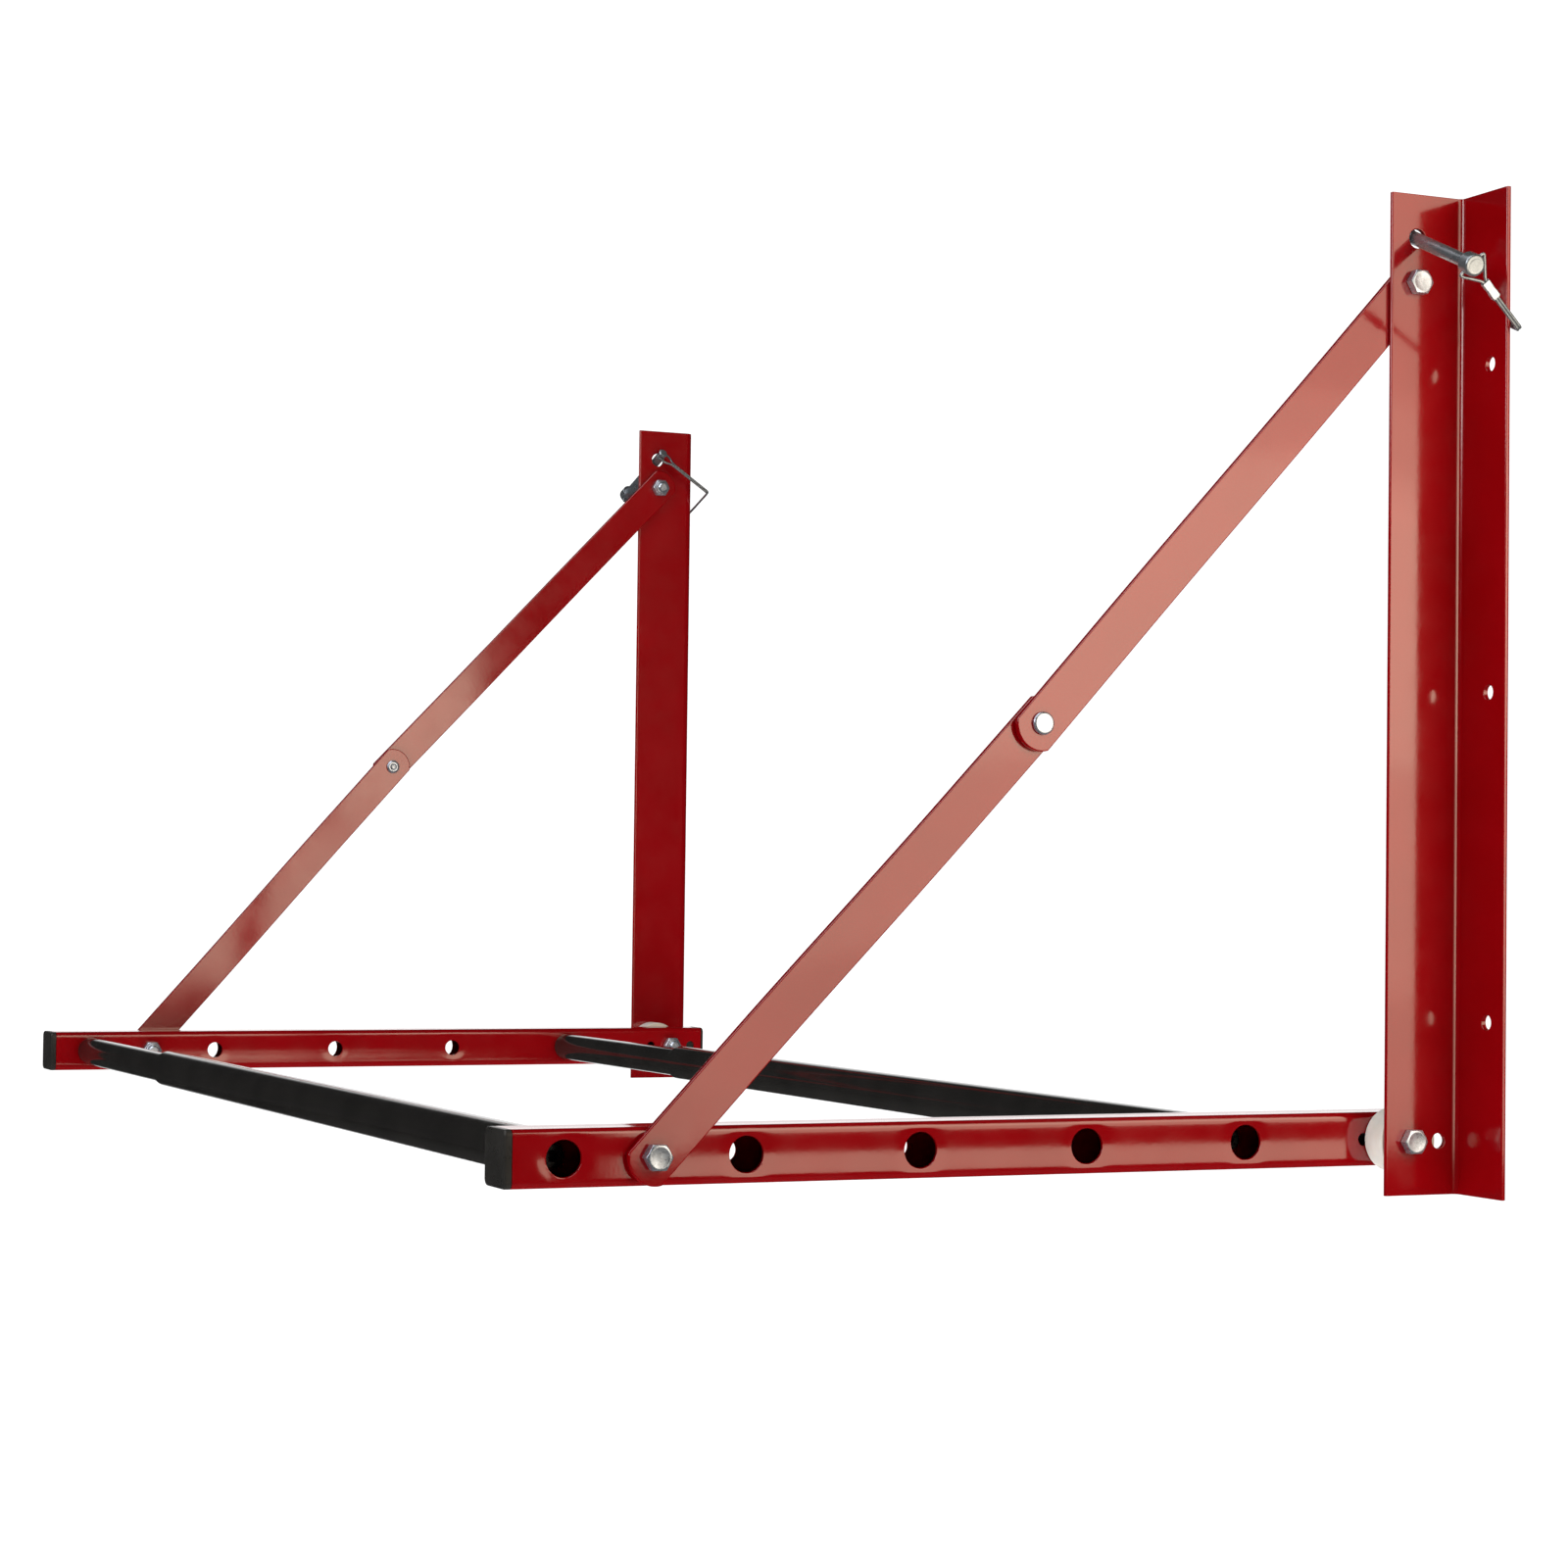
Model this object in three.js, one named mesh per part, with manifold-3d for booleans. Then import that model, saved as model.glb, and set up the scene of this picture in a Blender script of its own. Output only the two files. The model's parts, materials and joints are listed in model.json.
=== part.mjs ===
// Folding wall rack: two wall uprights of angle iron, two square-tube arms that hinge up against
// them, a jointed flat-bar brace on each side and two telescopic round crossbars.
// Millimetres. +Z is up, the wall is the plane y = 0 and the rack stands out towards -Y.
// x = 0 is half way between the uprights, z = 0 is the height of the arm pivots.
import * as THREE from "three";
import { mergeVertices } from "three/addons/utils/BufferGeometryUtils.js";
import Module from "manifold-3d";

const wasm = await Module();
wasm.setup();

// ---------------------------------------------------------------- driving dimensions
const SPAN = 1130; // across the outer faces of the two side flanges
const GAP = 0.3; // working clearance between neighbouring pieces

// Upright: a cold-bent angle, with its side flange square to the wall.
const ANGLE = { side: 50, wall: 45, thick: 3, bend: 3, tip: 0.8, below: 30, above: 530 };
const WALL_HOLE = { diameter: 8.5, inset: 30, pitch: 183, count: 3 };

// Side arm: a square tube with punched faces.
const TUBE = { side: 30, wall: 2, corner: 3.5, rear: 27.5, front: 522.5 };
const ARM_GAP = 17; // from the side flange to the arm
const STATION = { first: 95, pitch: 100, count: 5, access: 19, seat: 12 };
const SPARE_HOLE = { diameter: 7.3, offset: 18 };
const CAP = { front: 4.2, rear: 2.2, edge: 1.4, spigot: 15, spigotWall: 2 };

// Hinges of the side mechanism, seen from the side.
const PIVOT_Y = -33;
const BRACE_TOP = 480; // height of the upper brace hinge
const BRACE_REACH = 447; // from the arm pivot to the lower brace hinge
const LOCK_HEIGHT = 505; // height of the lock pin's hole

// Brace: two flat bars that meet at a riveted elbow.
const BAR = { width: 25, thick: 4, endRadius: 15 };
const RIVET = { shank: 8, head: 12.5, headThick: 2.2, tail: 10.8, tailThick: 1.8 };

// M8 fasteners.
const M8 = { shank: 8, hole: 8.6, flats: 13, head: 5.3, nut: 8, nutHex: 5.6, past: 1.6 };
const SPACER_DIAMETER = 36;

// Telescopic crossbars.
const THICK_TUBE = { diameter: 25, wall: 1.7, length: 779.7 };
const THIN_TUBE = { diameter: 21, wall: 1.5, length: 420 };
const CAP_SCREW = { head: 13, headHeight: 8, socket: 6, socketDepth: 4, reach: 17.5 };
const WASHER = { diameter: 17, thick: 1.6 };
const PLUG_LENGTH = 16;

// Lock pin: a round pin that hangs in its hole, head outwards. Its wire bow hinges in the head,
// passes behind the upright and closes on a neck near the pin's tip.
const LOCK = { hole: 11, shank: 7.5, head: 12.5, headLength: 9.5, length: 81, inside: 13.5 };
const LOCK_DROOP = THREE.MathUtils.degToRad(22.5);
const LOCK_FORWARD = THREE.MathUtils.degToRad(4);
const NECK = { diameter: 5, width: 4.6, fromTip: 2.4 };
const WIRE = { diameter: 1.8, pitch: 1.6, leg: 51.5, spread: 9.4, meet: 13, crossHole: 2.4 };
const LEG_DROOP = THREE.MathUtils.degToRad(42);
const SLEEVE = { width: 5.1, thick: 3.3, length: 12, start: 14 };

// ---------------------------------------------------------------- worked-out planes
const flangeOut = SPAN / 2;
const flangeIn = flangeOut - ANGLE.thick;
const armOut = flangeIn - ARM_GAP;
const armIn = armOut - TUBE.side;
const upperBarOut = flangeIn - GAP;
const lowerBarOut = armOut + GAP + BAR.thick;
const elbowBarOut = flangeIn - 2 * GAP - RIVET.headThick - 0.5;

const straight = Math.hypot(BRACE_TOP, BRACE_REACH);
const upperLength = (straight + BRACE_TOP - BRACE_REACH) / 2;
const lowerLength = straight - upperLength;
const braceLean = Math.atan2(BRACE_REACH, BRACE_TOP);

// ---------------------------------------------------------------- materials
const finish = (color, roughness, metalness) => () =>
  new THREE.MeshStandardMaterial({ color, roughness, metalness });
const redPaint = finish(0x8e0a14, 0.3, 0.1);
const blackPaint = finish(0x16120f, 0.25, 0.1);
const zinc = finish(0xc9c8c2, 0.3, 0.9);
const steel = finish(0x8f9190, 0.32, 0.9);
const nylon = finish(0xe6e3da, 0.55, 0);
const blackPlastic = finish(0x1b1a18, 0.6, 0);

// ---------------------------------------------------------------- solid tools
// Drawing planes: a shape's x, y and its depth become these world directions.
const axes = (x, y, z) =>
  new THREE.Matrix4().makeBasis(
    new THREE.Vector3(...x),
    new THREE.Vector3(...y),
    new THREE.Vector3(...z),
  );
const ALONG_X = axes([0, 1, 0], [0, 0, 1], [1, 0, 0]);
const ALONG_FRONT = axes([1, 0, 0], [0, 0, 1], [0, -1, 0]);

function solid(geometry) {
  const bare = geometry.clone();
  bare.deleteAttribute("normal");
  bare.deleteAttribute("uv");
  const merged = mergeVertices(bare, 1e-4);
  return new wasm.Manifold(
    new wasm.Mesh({
      numProp: 3,
      vertProperties: merged.attributes.position.array,
      triVerts: new Uint32Array(merged.index.array),
    }),
  );
}

function surface(body) {
  const mesh = body.getMesh();
  const geometry = new THREE.BufferGeometry();
  geometry.setAttribute("position", new THREE.BufferAttribute(mesh.vertProperties, 3));
  geometry.setIndex(new THREE.BufferAttribute(mesh.triVerts, 1));
  geometry.computeVertexNormals();
  return geometry;
}

const cut = (geometry, cutters) =>
  surface(cutters.reduce((body, cutter) => body.subtract(solid(cutter)), solid(geometry)));
const join = (...geometries) =>
  surface(geometries.map(solid).reduce((body, next) => body.add(next)));
const common = (a, b) => surface(solid(a).intersect(solid(b)));

function prism(shape, depth, plane = new THREE.Matrix4()) {
  const geometry = new THREE.ExtrudeGeometry(shape, {
    depth,
    bevelEnabled: false,
    curveSegments: 6,
  });
  return geometry.applyMatrix4(plane);
}

// A turned piece about the X axis. The profile lists [x, radius] and runs outside from low x.
function turned(profile, segments = 24) {
  const points = profile.map(([x, radius]) => new THREE.Vector2(radius, x));
  return new THREE.LatheGeometry(points, segments).rotateZ(-Math.PI / 2);
}

const rod = (radius, from, to, segments = 24) =>
  turned([[from, 0], [from, radius], [to, radius], [to, 0]], segments);
const ring = (outer, inner, from, to, edge = 0, segments = 24) =>
  turned(
    [
      [from, inner],
      [from, outer - edge],
      [from + edge, outer],
      [to - edge, outer],
      [to, outer - edge],
      [to, inner],
      [from, inner],
    ].filter((point, i, all) => i === 0 || String(point) !== String(all[i - 1])),
    segments,
  );

const holeAlongX = (diameter, y, z, from, to) =>
  rod(diameter / 2, from, to, diameter > 10 ? 24 : 16).translate(0, y, z);
const holeAlongY = (diameter, x, z) =>
  new THREE.CylinderGeometry(diameter / 2, diameter / 2, 20, 16).translate(x, 0, z);

// A square outline with rounded corners, centred on the origin.
function roundedSquare(side, radius, outline = new THREE.Shape()) {
  const reach = side / 2 - radius;
  for (let corner = 0; corner < 4; corner++) {
    const turn = (corner * Math.PI) / 2;
    const x = corner === 0 || corner === 3 ? reach : -reach;
    const y = corner < 2 ? reach : -reach;
    outline.absarc(x, y, radius, turn, turn + Math.PI / 2, false);
  }
  outline.closePath();
  return outline;
}

// A hexagonal prism along X with its corners turned down to a cone at the far end.
function hexagon(flats, from, to) {
  const across = flats / Math.sqrt(3);
  const shape = new THREE.Shape();
  for (let i = 0; i < 6; i++) {
    const angle = (i * Math.PI) / 3;
    shape[i ? "lineTo" : "moveTo"](across * Math.cos(angle), across * Math.sin(angle));
  }
  shape.closePath();
  return prism(shape, to - from, ALONG_X).translate(from, 0, 0);
}

const mesh = (name, geometry, material) => {
  const made = new THREE.Mesh(geometry, material());
  made.name = name;
  return made;
};

// ---------------------------------------------------------------- fasteners
// A hexagon bolt: its bearing face is at x = 0, its head outside it and its shank inside.
function hexBolt(name, grip) {
  const chamfer = 0.5;
  const crown = M8.flats / 2;
  const envelope = turned([
    [0, 0],
    [0, crown + 1.2],
    [M8.head - 1.2, crown + 1.2],
    [M8.head, crown - 0.4],
    [M8.head, 0],
  ]);
  const head = common(hexagon(M8.flats, 0, M8.head), envelope);
  const shank = turned([
    [-grip, 0],
    [-grip, M8.shank / 2 - chamfer],
    [-grip + chamfer, M8.shank / 2],
    [1, M8.shank / 2],
    [1, 0],
  ]);
  return mesh(name, join(head, shank), zinc);
}

// A lock nut: its bearing face is at x = 0 and its round collar points inwards.
function lockNut(name) {
  const collar = M8.flats / 2 - 0.6;
  const envelope = turned([
    [-M8.nut, 0],
    [-M8.nut, collar - 1.4],
    [-M8.nut + 1.2, collar],
    [-M8.nutHex, collar],
    [-M8.nutHex + 0.9, M8.flats / 2 + 1.2],
    [0, M8.flats / 2 + 1.2],
    [0, 0],
  ]);
  const body = common(hexagon(M8.flats, -M8.nut, 0), envelope);
  const bore = rod(M8.hole / 2, -M8.nut - 1, 1);
  return mesh(name, cut(body, [bore]), zinc);
}

const place = (object, x, y, z) => {
  object.position.set(x, y, z);
  return object;
};

// ---------------------------------------------------------------- upright
function angleOutline() {
  const { side, wall, thick, bend, tip } = ANGLE;
  const outer = bend + thick;
  const right = flangeIn + wall;
  const quarter = Math.PI / 2;
  const shape = new THREE.Shape();
  shape.absarc(flangeIn + outer, -outer, outer, 2 * quarter, quarter, true);
  shape.absarc(right - tip, -tip, tip, quarter, 0, true);
  shape.absarc(right - tip, tip - thick, tip, 0, -quarter, true);
  shape.absarc(flangeIn + outer, -outer, bend, quarter, 2 * quarter, false);
  shape.absarc(flangeOut - tip, tip - side, tip, 0, -quarter, true);
  shape.absarc(flangeIn + tip, tip - side, tip, -quarter, -2 * quarter, true);
  shape.closePath();
  return shape;
}

function upright(side) {
  const height = ANGLE.above + ANGLE.below;
  const bar = prism(angleOutline(), height).translate(0, 0, -ANGLE.below);
  const middle = (ANGLE.above - ANGLE.below) / 2;
  const wallHoles = Array.from({ length: WALL_HOLE.count }, (_, i) =>
    holeAlongY(
      WALL_HOLE.diameter,
      flangeIn + WALL_HOLE.inset,
      middle + (i - (WALL_HOLE.count - 1) / 2) * WALL_HOLE.pitch,
    ),
  );
  const across = (diameter, y, z) =>
    holeAlongX(diameter, y, z, flangeIn - 5, flangeOut + 5);
  return mesh(
    `${side}_upright`,
    cut(bar, [
      ...wallHoles,
      across(M8.hole, PIVOT_Y, 0),
      across(M8.hole, PIVOT_Y + SPARE_HOLE.offset, 0),
      across(M8.hole, PIVOT_Y, BRACE_TOP),
      across(LOCK.hole, PIVOT_Y, LOCK_HEIGHT),
    ]),
    redPaint,
  );
}

function pivotSpacer(side) {
  const disc = ring(SPACER_DIAMETER / 2, M8.hole / 2, armOut + GAP, flangeIn - GAP, 0.8, 36);
  return place(mesh(`${side}_pivot_spacer`, disc, nylon), 0, PIVOT_Y, 0);
}

// ---------------------------------------------------------------- arm
function armTube(side) {
  const outline = roundedSquare(TUBE.side, TUBE.corner);
  outline.holes.push(
    roundedSquare(TUBE.side - 2 * TUBE.wall, TUBE.corner - TUBE.wall, new THREE.Path()),
  );
  const length = TUBE.front + TUBE.rear;
  const tube = prism(outline, length, ALONG_FRONT).translate(0, TUBE.rear, 0);
  const half = TUBE.side / 2;
  const through = (diameter, y) => holeAlongX(diameter, y, 0, -half - 1, half + 1);
  const holes = [
    through(M8.hole, 0),
    through(SPARE_HOLE.diameter, SPARE_HOLE.offset),
    through(SPARE_HOLE.diameter, -SPARE_HOLE.offset),
    through(M8.hole, -BRACE_REACH),
  ];
  for (let i = 0; i < STATION.count; i++) {
    const y = -(STATION.first + i * STATION.pitch);
    holes.push(holeAlongX(STATION.access, y, 0, 0, half + 1));
    holes.push(holeAlongX(STATION.seat, y, 0, -half - 1, 0));
  }
  const arm = mesh(`${side}_arm`, cut(tube, holes), redPaint);
  return place(arm, (armOut + armIn) / 2, 0, 0);
}

// An end cap, drawn with its plate in front of the tube's end and its spigot behind it.
function endCap(name, plate) {
  const outline = roundedSquare(TUBE.side - 2 * CAP.edge, TUBE.corner - CAP.edge);
  const cover = new THREE.ExtrudeGeometry(outline, {
    depth: plate - CAP.edge,
    bevelThickness: CAP.edge,
    bevelSize: CAP.edge,
    bevelSegments: 2,
    curveSegments: 3,
  });
  const lip = new THREE.Shape();
  roundedSquare(TUBE.side + 4, TUBE.corner, lip);
  const front = common(cover, prism(lip, plate));
  const inside = TUBE.side - 2 * TUBE.wall - 2 * GAP;
  const collar = roundedSquare(inside, 1.2);
  collar.holes.push(roundedSquare(inside - 2 * CAP.spigotWall, 0.6, new THREE.Path()));
  const spigot = prism(collar, CAP.spigot + 1).translate(0, 0, -CAP.spigot);
  return mesh(name, join(front, spigot).applyMatrix4(ALONG_FRONT), blackPlastic);
}

function frontCap(side) {
  const x = (armOut + armIn) / 2;
  return place(endCap(`${side}_front_cap`, CAP.front), x, -TUBE.front - GAP, 0);
}

function rearCap(side) {
  const x = (armOut + armIn) / 2;
  const cap = place(endCap(`${side}_rear_cap`, CAP.rear), x, TUBE.rear + GAP, 0);
  cap.rotation.z = Math.PI;
  return cap;
}

// ---------------------------------------------------------------- brace
// A flat bar that hangs from a hole at the origin. It starts with its outer face at x = 0 and
// is set over by `shift` before its far hole.
function flatBar(name, length, shift) {
  const { width, thick, endRadius } = BAR;
  const total = length + 2 * endRadius;
  const steps = 40;
  const slab = new THREE.BoxGeometry(thick, width, total, 1, 1, steps);
  slab.translate(-thick / 2, 0, endRadius - total / 2);
  const position = slab.attributes.position;
  for (let i = 0; i < position.count; i++) {
    const along = THREE.MathUtils.smoothstep(-position.getZ(i), 0.22 * length, 0.78 * length);
    position.setX(i, position.getX(i) + shift * along);
  }
  const corner = Math.asin(width / 2 / endRadius);
  const outline = new THREE.Shape();
  outline.absarc(0, 0, endRadius, Math.PI / 2 - corner, Math.PI / 2 + corner, false);
  outline.absarc(0, -length, endRadius, -Math.PI / 2 - corner, -Math.PI / 2 + corner, false);
  outline.closePath();
  const envelope = prism(outline, 60, ALONG_X).translate(-30, 0, 0);
  const holes = [0, -length].map((z) => holeAlongX(M8.hole, 0, z, -40, 40));
  return mesh(name, cut(common(slab, envelope), holes), redPaint);
}

// The elbow rivet is in two pieces that meet between the bars: the headed half sits in the
// upper bar, and the collar half in the lower bar.
function elbowRivet(name, outerFace) {
  const { shank, head, headThick } = RIVET;
  const profile = [
    [-BAR.thick, 0],
    [-BAR.thick, shank / 2],
    [GAP, shank / 2],
    [GAP, head / 2],
    [GAP + headThick * 0.55, head / 2],
    [GAP + headThick, head / 2 - 1.3],
    [GAP + headThick, 0],
  ];
  return mesh(name, turned(profile).translate(outerFace, 0, 0), zinc);
}

function elbowCollar(name, outerFace) {
  const { shank, tail, tailThick } = RIVET;
  const under = -BAR.thick - GAP;
  const profile = [
    [under - tailThick, 0],
    [under - tailThick, tail / 2 - 1.1],
    [under - tailThick * 0.5, tail / 2],
    [under, tail / 2],
    [under, shank / 2],
    [0, shank / 2],
    [0, 0],
  ];
  return mesh(name, turned(profile).translate(outerFace, 0, 0), zinc);
}

// `sag` is how far the elbow lies below the line between the two outer hinges.
function upperBrace(side, sag) {
  const brace = new THREE.Group();
  const bar = place(
    flatBar(`${side}_upper_bar`, upperLength, elbowBarOut - upperBarOut),
    upperBarOut,
    0,
    0,
  );
  const rivet = place(elbowRivet(`${side}_elbow_rivet`, elbowBarOut), 0, 0, -upperLength);
  brace.add(bar, rivet);
  brace.rotation.x = -braceLean + Math.asin(sag / upperLength);
  return place(brace, 0, PIVOT_Y, BRACE_TOP);
}

function lowerBrace(side, sag) {
  const brace = new THREE.Group();
  const elbowFace = elbowBarOut - BAR.thick - GAP;
  const bar = flatBar(`${side}_lower_bar`, lowerLength, lowerBarOut - elbowFace);
  place(bar, elbowFace, 0, lowerLength);
  const collar = elbowCollar(`${side}_elbow_collar`, elbowFace);
  place(collar, 0, 0, lowerLength);
  brace.add(bar, collar);
  brace.rotation.x = -braceLean - Math.asin(sag / lowerLength);
  return place(brace, 0, PIVOT_Y - BRACE_REACH, 0);
}

// ---------------------------------------------------------------- lock pin
function lockPinBody(side) {
  const { shank, head, headLength, length, inside } = LOCK;
  const tip = -inside;
  const neck = tip + NECK.fromTip;
  const end = length - inside;
  const profile = [
    [tip, 0],
    [tip, shank / 2 - 1],
    [tip + 1, shank / 2],
    [neck, shank / 2],
    [neck, NECK.diameter / 2],
    [neck + NECK.width, NECK.diameter / 2],
    [neck + NECK.width, shank / 2],
    [end - headLength, shank / 2],
    [end - headLength, head / 2 - 0.8],
    [end - headLength + 0.8, head / 2],
    [end - 0.8, head / 2],
    [end, head / 2 - 0.8],
    [end, 0],
  ];
  const radius = WIRE.crossHole / 2;
  const crossHole = new THREE.CylinderGeometry(radius, radius, 2 * head, 16);
  crossHole.rotateX(Math.PI / 2).translate(end - headLength / 2, 0, 0);
  return mesh(`${side}_lock_pin`, cut(turned(profile), [crossHole]), steel);
}

// A path of straight runs whose corners are eased by a bend.
function bentPath(points, bend) {
  const path = new THREE.CurvePath();
  let from = points[0];
  for (let i = 1; i < points.length - 1; i++) {
    const before = points[i].clone().sub(points[i - 1]).setLength(bend);
    const after = points[i + 1].clone().sub(points[i]).setLength(bend);
    const start = points[i].clone().sub(before);
    const end = points[i].clone().add(after);
    path.add(new THREE.LineCurve3(from, start));
    path.add(new THREE.QuadraticBezierCurve3(start, points[i], end));
    from = end;
  }
  path.add(new THREE.LineCurve3(from, points[points.length - 1]));
  return path;
}

// One half of the bow. x runs along the pin, y along the bow's legs and z along the cross hole.
function bowHalf(hand) {
  const head = LOCK.length - LOCK.inside - LOCK.headLength / 2;
  const neck = NECK.fromTip - LOCK.inside + NECK.width / 2;
  const beside = (WIRE.pitch / 2) * hand;
  const prong = (NECK.diameter / 2 + GAP + WIRE.diameter / 2) * hand;
  const route = [
    [head, 0, 1 * hand],
    [head, 0, WIRE.spread * hand],
    [head, WIRE.meet, beside],
    [head, WIRE.leg, beside],
    [neck, WIRE.leg, beside],
    [neck, 12, beside],
    [neck, 6, prong],
    [neck, -4, prong],
  ].map((point) => new THREE.Vector3(...point));
  const section = new THREE.Shape();
  section.absarc(0, 0, WIRE.diameter / 2, 0, 2 * Math.PI, false);
  return new THREE.ExtrudeGeometry(section, {
    steps: 72,
    curveSegments: 3,
    bevelEnabled: false,
    extrudePath: bentPath(route, 2),
  });
}

const lockBow = (side) => mesh(`${side}_pin_bow`, join(bowHalf(1), bowHalf(-1)), steel);

function bowSleeve(side) {
  const { width, thick, length, start } = SLEEVE;
  const wireWidth = WIRE.pitch + WIRE.diameter + 2 * GAP;
  const block = new THREE.BoxGeometry(thick, length, width);
  const bore = new THREE.BoxGeometry(WIRE.diameter + 2 * GAP, length + 2, wireWidth);
  const sleeve = mesh(`${side}_bow_sleeve`, cut(block, [bore]), zinc);
  const head = LOCK.length - LOCK.inside - LOCK.headLength / 2;
  return place(sleeve, head, start + length / 2, 0);
}

function lockPin(side) {
  const pin = new THREE.Vector3(
    Math.cos(LOCK_DROOP) * Math.cos(LOCK_FORWARD),
    -Math.cos(LOCK_DROOP) * Math.sin(LOCK_FORWARD),
    -Math.sin(LOCK_DROOP),
  );
  const leg = new THREE.Vector3(0, Math.cos(LEG_DROOP), -Math.sin(LEG_DROOP));
  leg.addScaledVector(pin, -leg.dot(pin)).normalize();
  const cross = pin.clone().cross(leg);
  const lock = new THREE.Group();
  lock.quaternion.setFromRotationMatrix(new THREE.Matrix4().makeBasis(pin, leg, cross));
  lock.add(lockPinBody(side), lockBow(side), bowSleeve(side));
  return place(lock, (flangeIn + flangeOut) / 2, PIVOT_Y, LOCK_HEIGHT);
}

// ---------------------------------------------------------------- crossbars
const barY = { rear: -STATION.first, front: -STATION.first - (STATION.count - 1) * STATION.pitch };

// A crossbar tube with its fixed end against the arm, running inwards.
function crossTube(name, tube) {
  const radius = tube.diameter / 2;
  const body = ring(radius, radius - tube.wall, -tube.length, 0, 0.4, 32);
  return place(mesh(name, body, blackPaint), armIn - GAP, 0, 0);
}

function endPlug(name, tube) {
  const radius = tube.diameter / 2 - tube.wall - GAP;
  const body = ring(radius, M8.hole / 2, -PLUG_LENGTH, 0);
  return place(mesh(name, body, steel), armIn - GAP, 0, 0);
}

// A socket-head screw and its washer, on the inside of the arm's inner wall.
function capScrew(name) {
  const { head, headHeight, socket, socketDepth, reach } = CAP_SCREW;
  const body = turned([
    [-reach, 0],
    [-reach, M8.shank / 2],
    [0, M8.shank / 2],
    [0, head / 2],
    [headHeight - 0.6, head / 2],
    [headHeight, head / 2 - 0.6],
    [headHeight, 0],
  ]);
  const key = hexagon(socket, headHeight - socketDepth, headHeight + 1);
  const x = armIn + TUBE.wall + 2 * GAP + WASHER.thick;
  return place(mesh(name, cut(body, [key]), zinc), x, 0, 0);
}

function screwWasher(name) {
  const body = ring(WASHER.diameter / 2, M8.hole / 2, 0, WASHER.thick, 0.2);
  return place(mesh(name, body, zinc), armIn + TUBE.wall + GAP, 0, 0);
}

function crossbar(side, row, tube, kind) {
  const bar = new THREE.Group();
  bar.add(
    crossTube(`${row}_crossbar_${kind}_tube`, tube),
    endPlug(`${row}_${side}_end_plug`, tube),
    screwWasher(`${row}_${side}_screw_washer`),
    capScrew(`${row}_${side}_cap_screw`),
  );
  return place(bar, 0, barY[row], 0);
}

// ---------------------------------------------------------------- assembly
// A side is drawn as the right-hand one; the left-hand one is its mirror image.
function sideAssembly(side, tube, kind, sag) {
  const through = flangeOut - armIn + 3 * GAP;
  const wallPieces = new THREE.Group();
  wallPieces.add(
    upright(side),
    pivotSpacer(side),
    place(hexBolt(`${side}_pivot_bolt`, through + M8.nut + M8.past), flangeOut + GAP, PIVOT_Y, 0),
    place(lockNut(`${side}_pivot_nut`), armIn - GAP, PIVOT_Y, 0),
    place(
      hexBolt(`${side}_upper_brace_bolt`, ANGLE.thick + BAR.thick + M8.nut + M8.past + 3 * GAP),
      flangeOut + GAP,
      PIVOT_Y,
      BRACE_TOP,
    ),
    place(lockNut(`${side}_upper_brace_nut`), upperBarOut - BAR.thick - GAP, PIVOT_Y, BRACE_TOP),
    lockPin(side),
  );

  const arm = place(new THREE.Group(), 0, PIVOT_Y, 0);
  arm.add(
    armTube(side),
    frontCap(side),
    rearCap(side),
    place(
      hexBolt(
        `${side}_lower_brace_bolt`,
        lowerBarOut - armIn + M8.nut + M8.past + 2 * GAP,
      ),
      lowerBarOut + GAP,
      -BRACE_REACH,
      0,
    ),
    place(lockNut(`${side}_lower_brace_nut`), armIn - GAP, -BRACE_REACH, 0),
    crossbar(side, "front", tube, kind),
    crossbar(side, "rear", tube, kind),
  );

  const assembly = new THREE.Group();
  assembly.name = `${side}_side`;
  assembly.add(wallPieces, arm, upperBrace(side, sag), lowerBrace(side, sag));
  return assembly;
}

const rack = new THREE.Group();
rack.name = "folding_wall_rack";
const right = sideAssembly("right", THICK_TUBE, "outer", 3);
const left = sideAssembly("left", THIN_TUBE, "inner", -6);
left.scale.x = -1;
rack.add(left, right);

export default rack;
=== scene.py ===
"""Looks for the folding wall rack: finished pieces, materials, lights and the camera.

Shapes are drawn in millimetres for the right-hand side of the rack, where x is positive. A
left-hand piece is the mirror image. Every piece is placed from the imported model's own boxes and
joints, and rides on the body of the solid that it stands for.
"""

import json
import math

import bmesh
import bpy
from mathutils import Matrix, Vector

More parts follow.
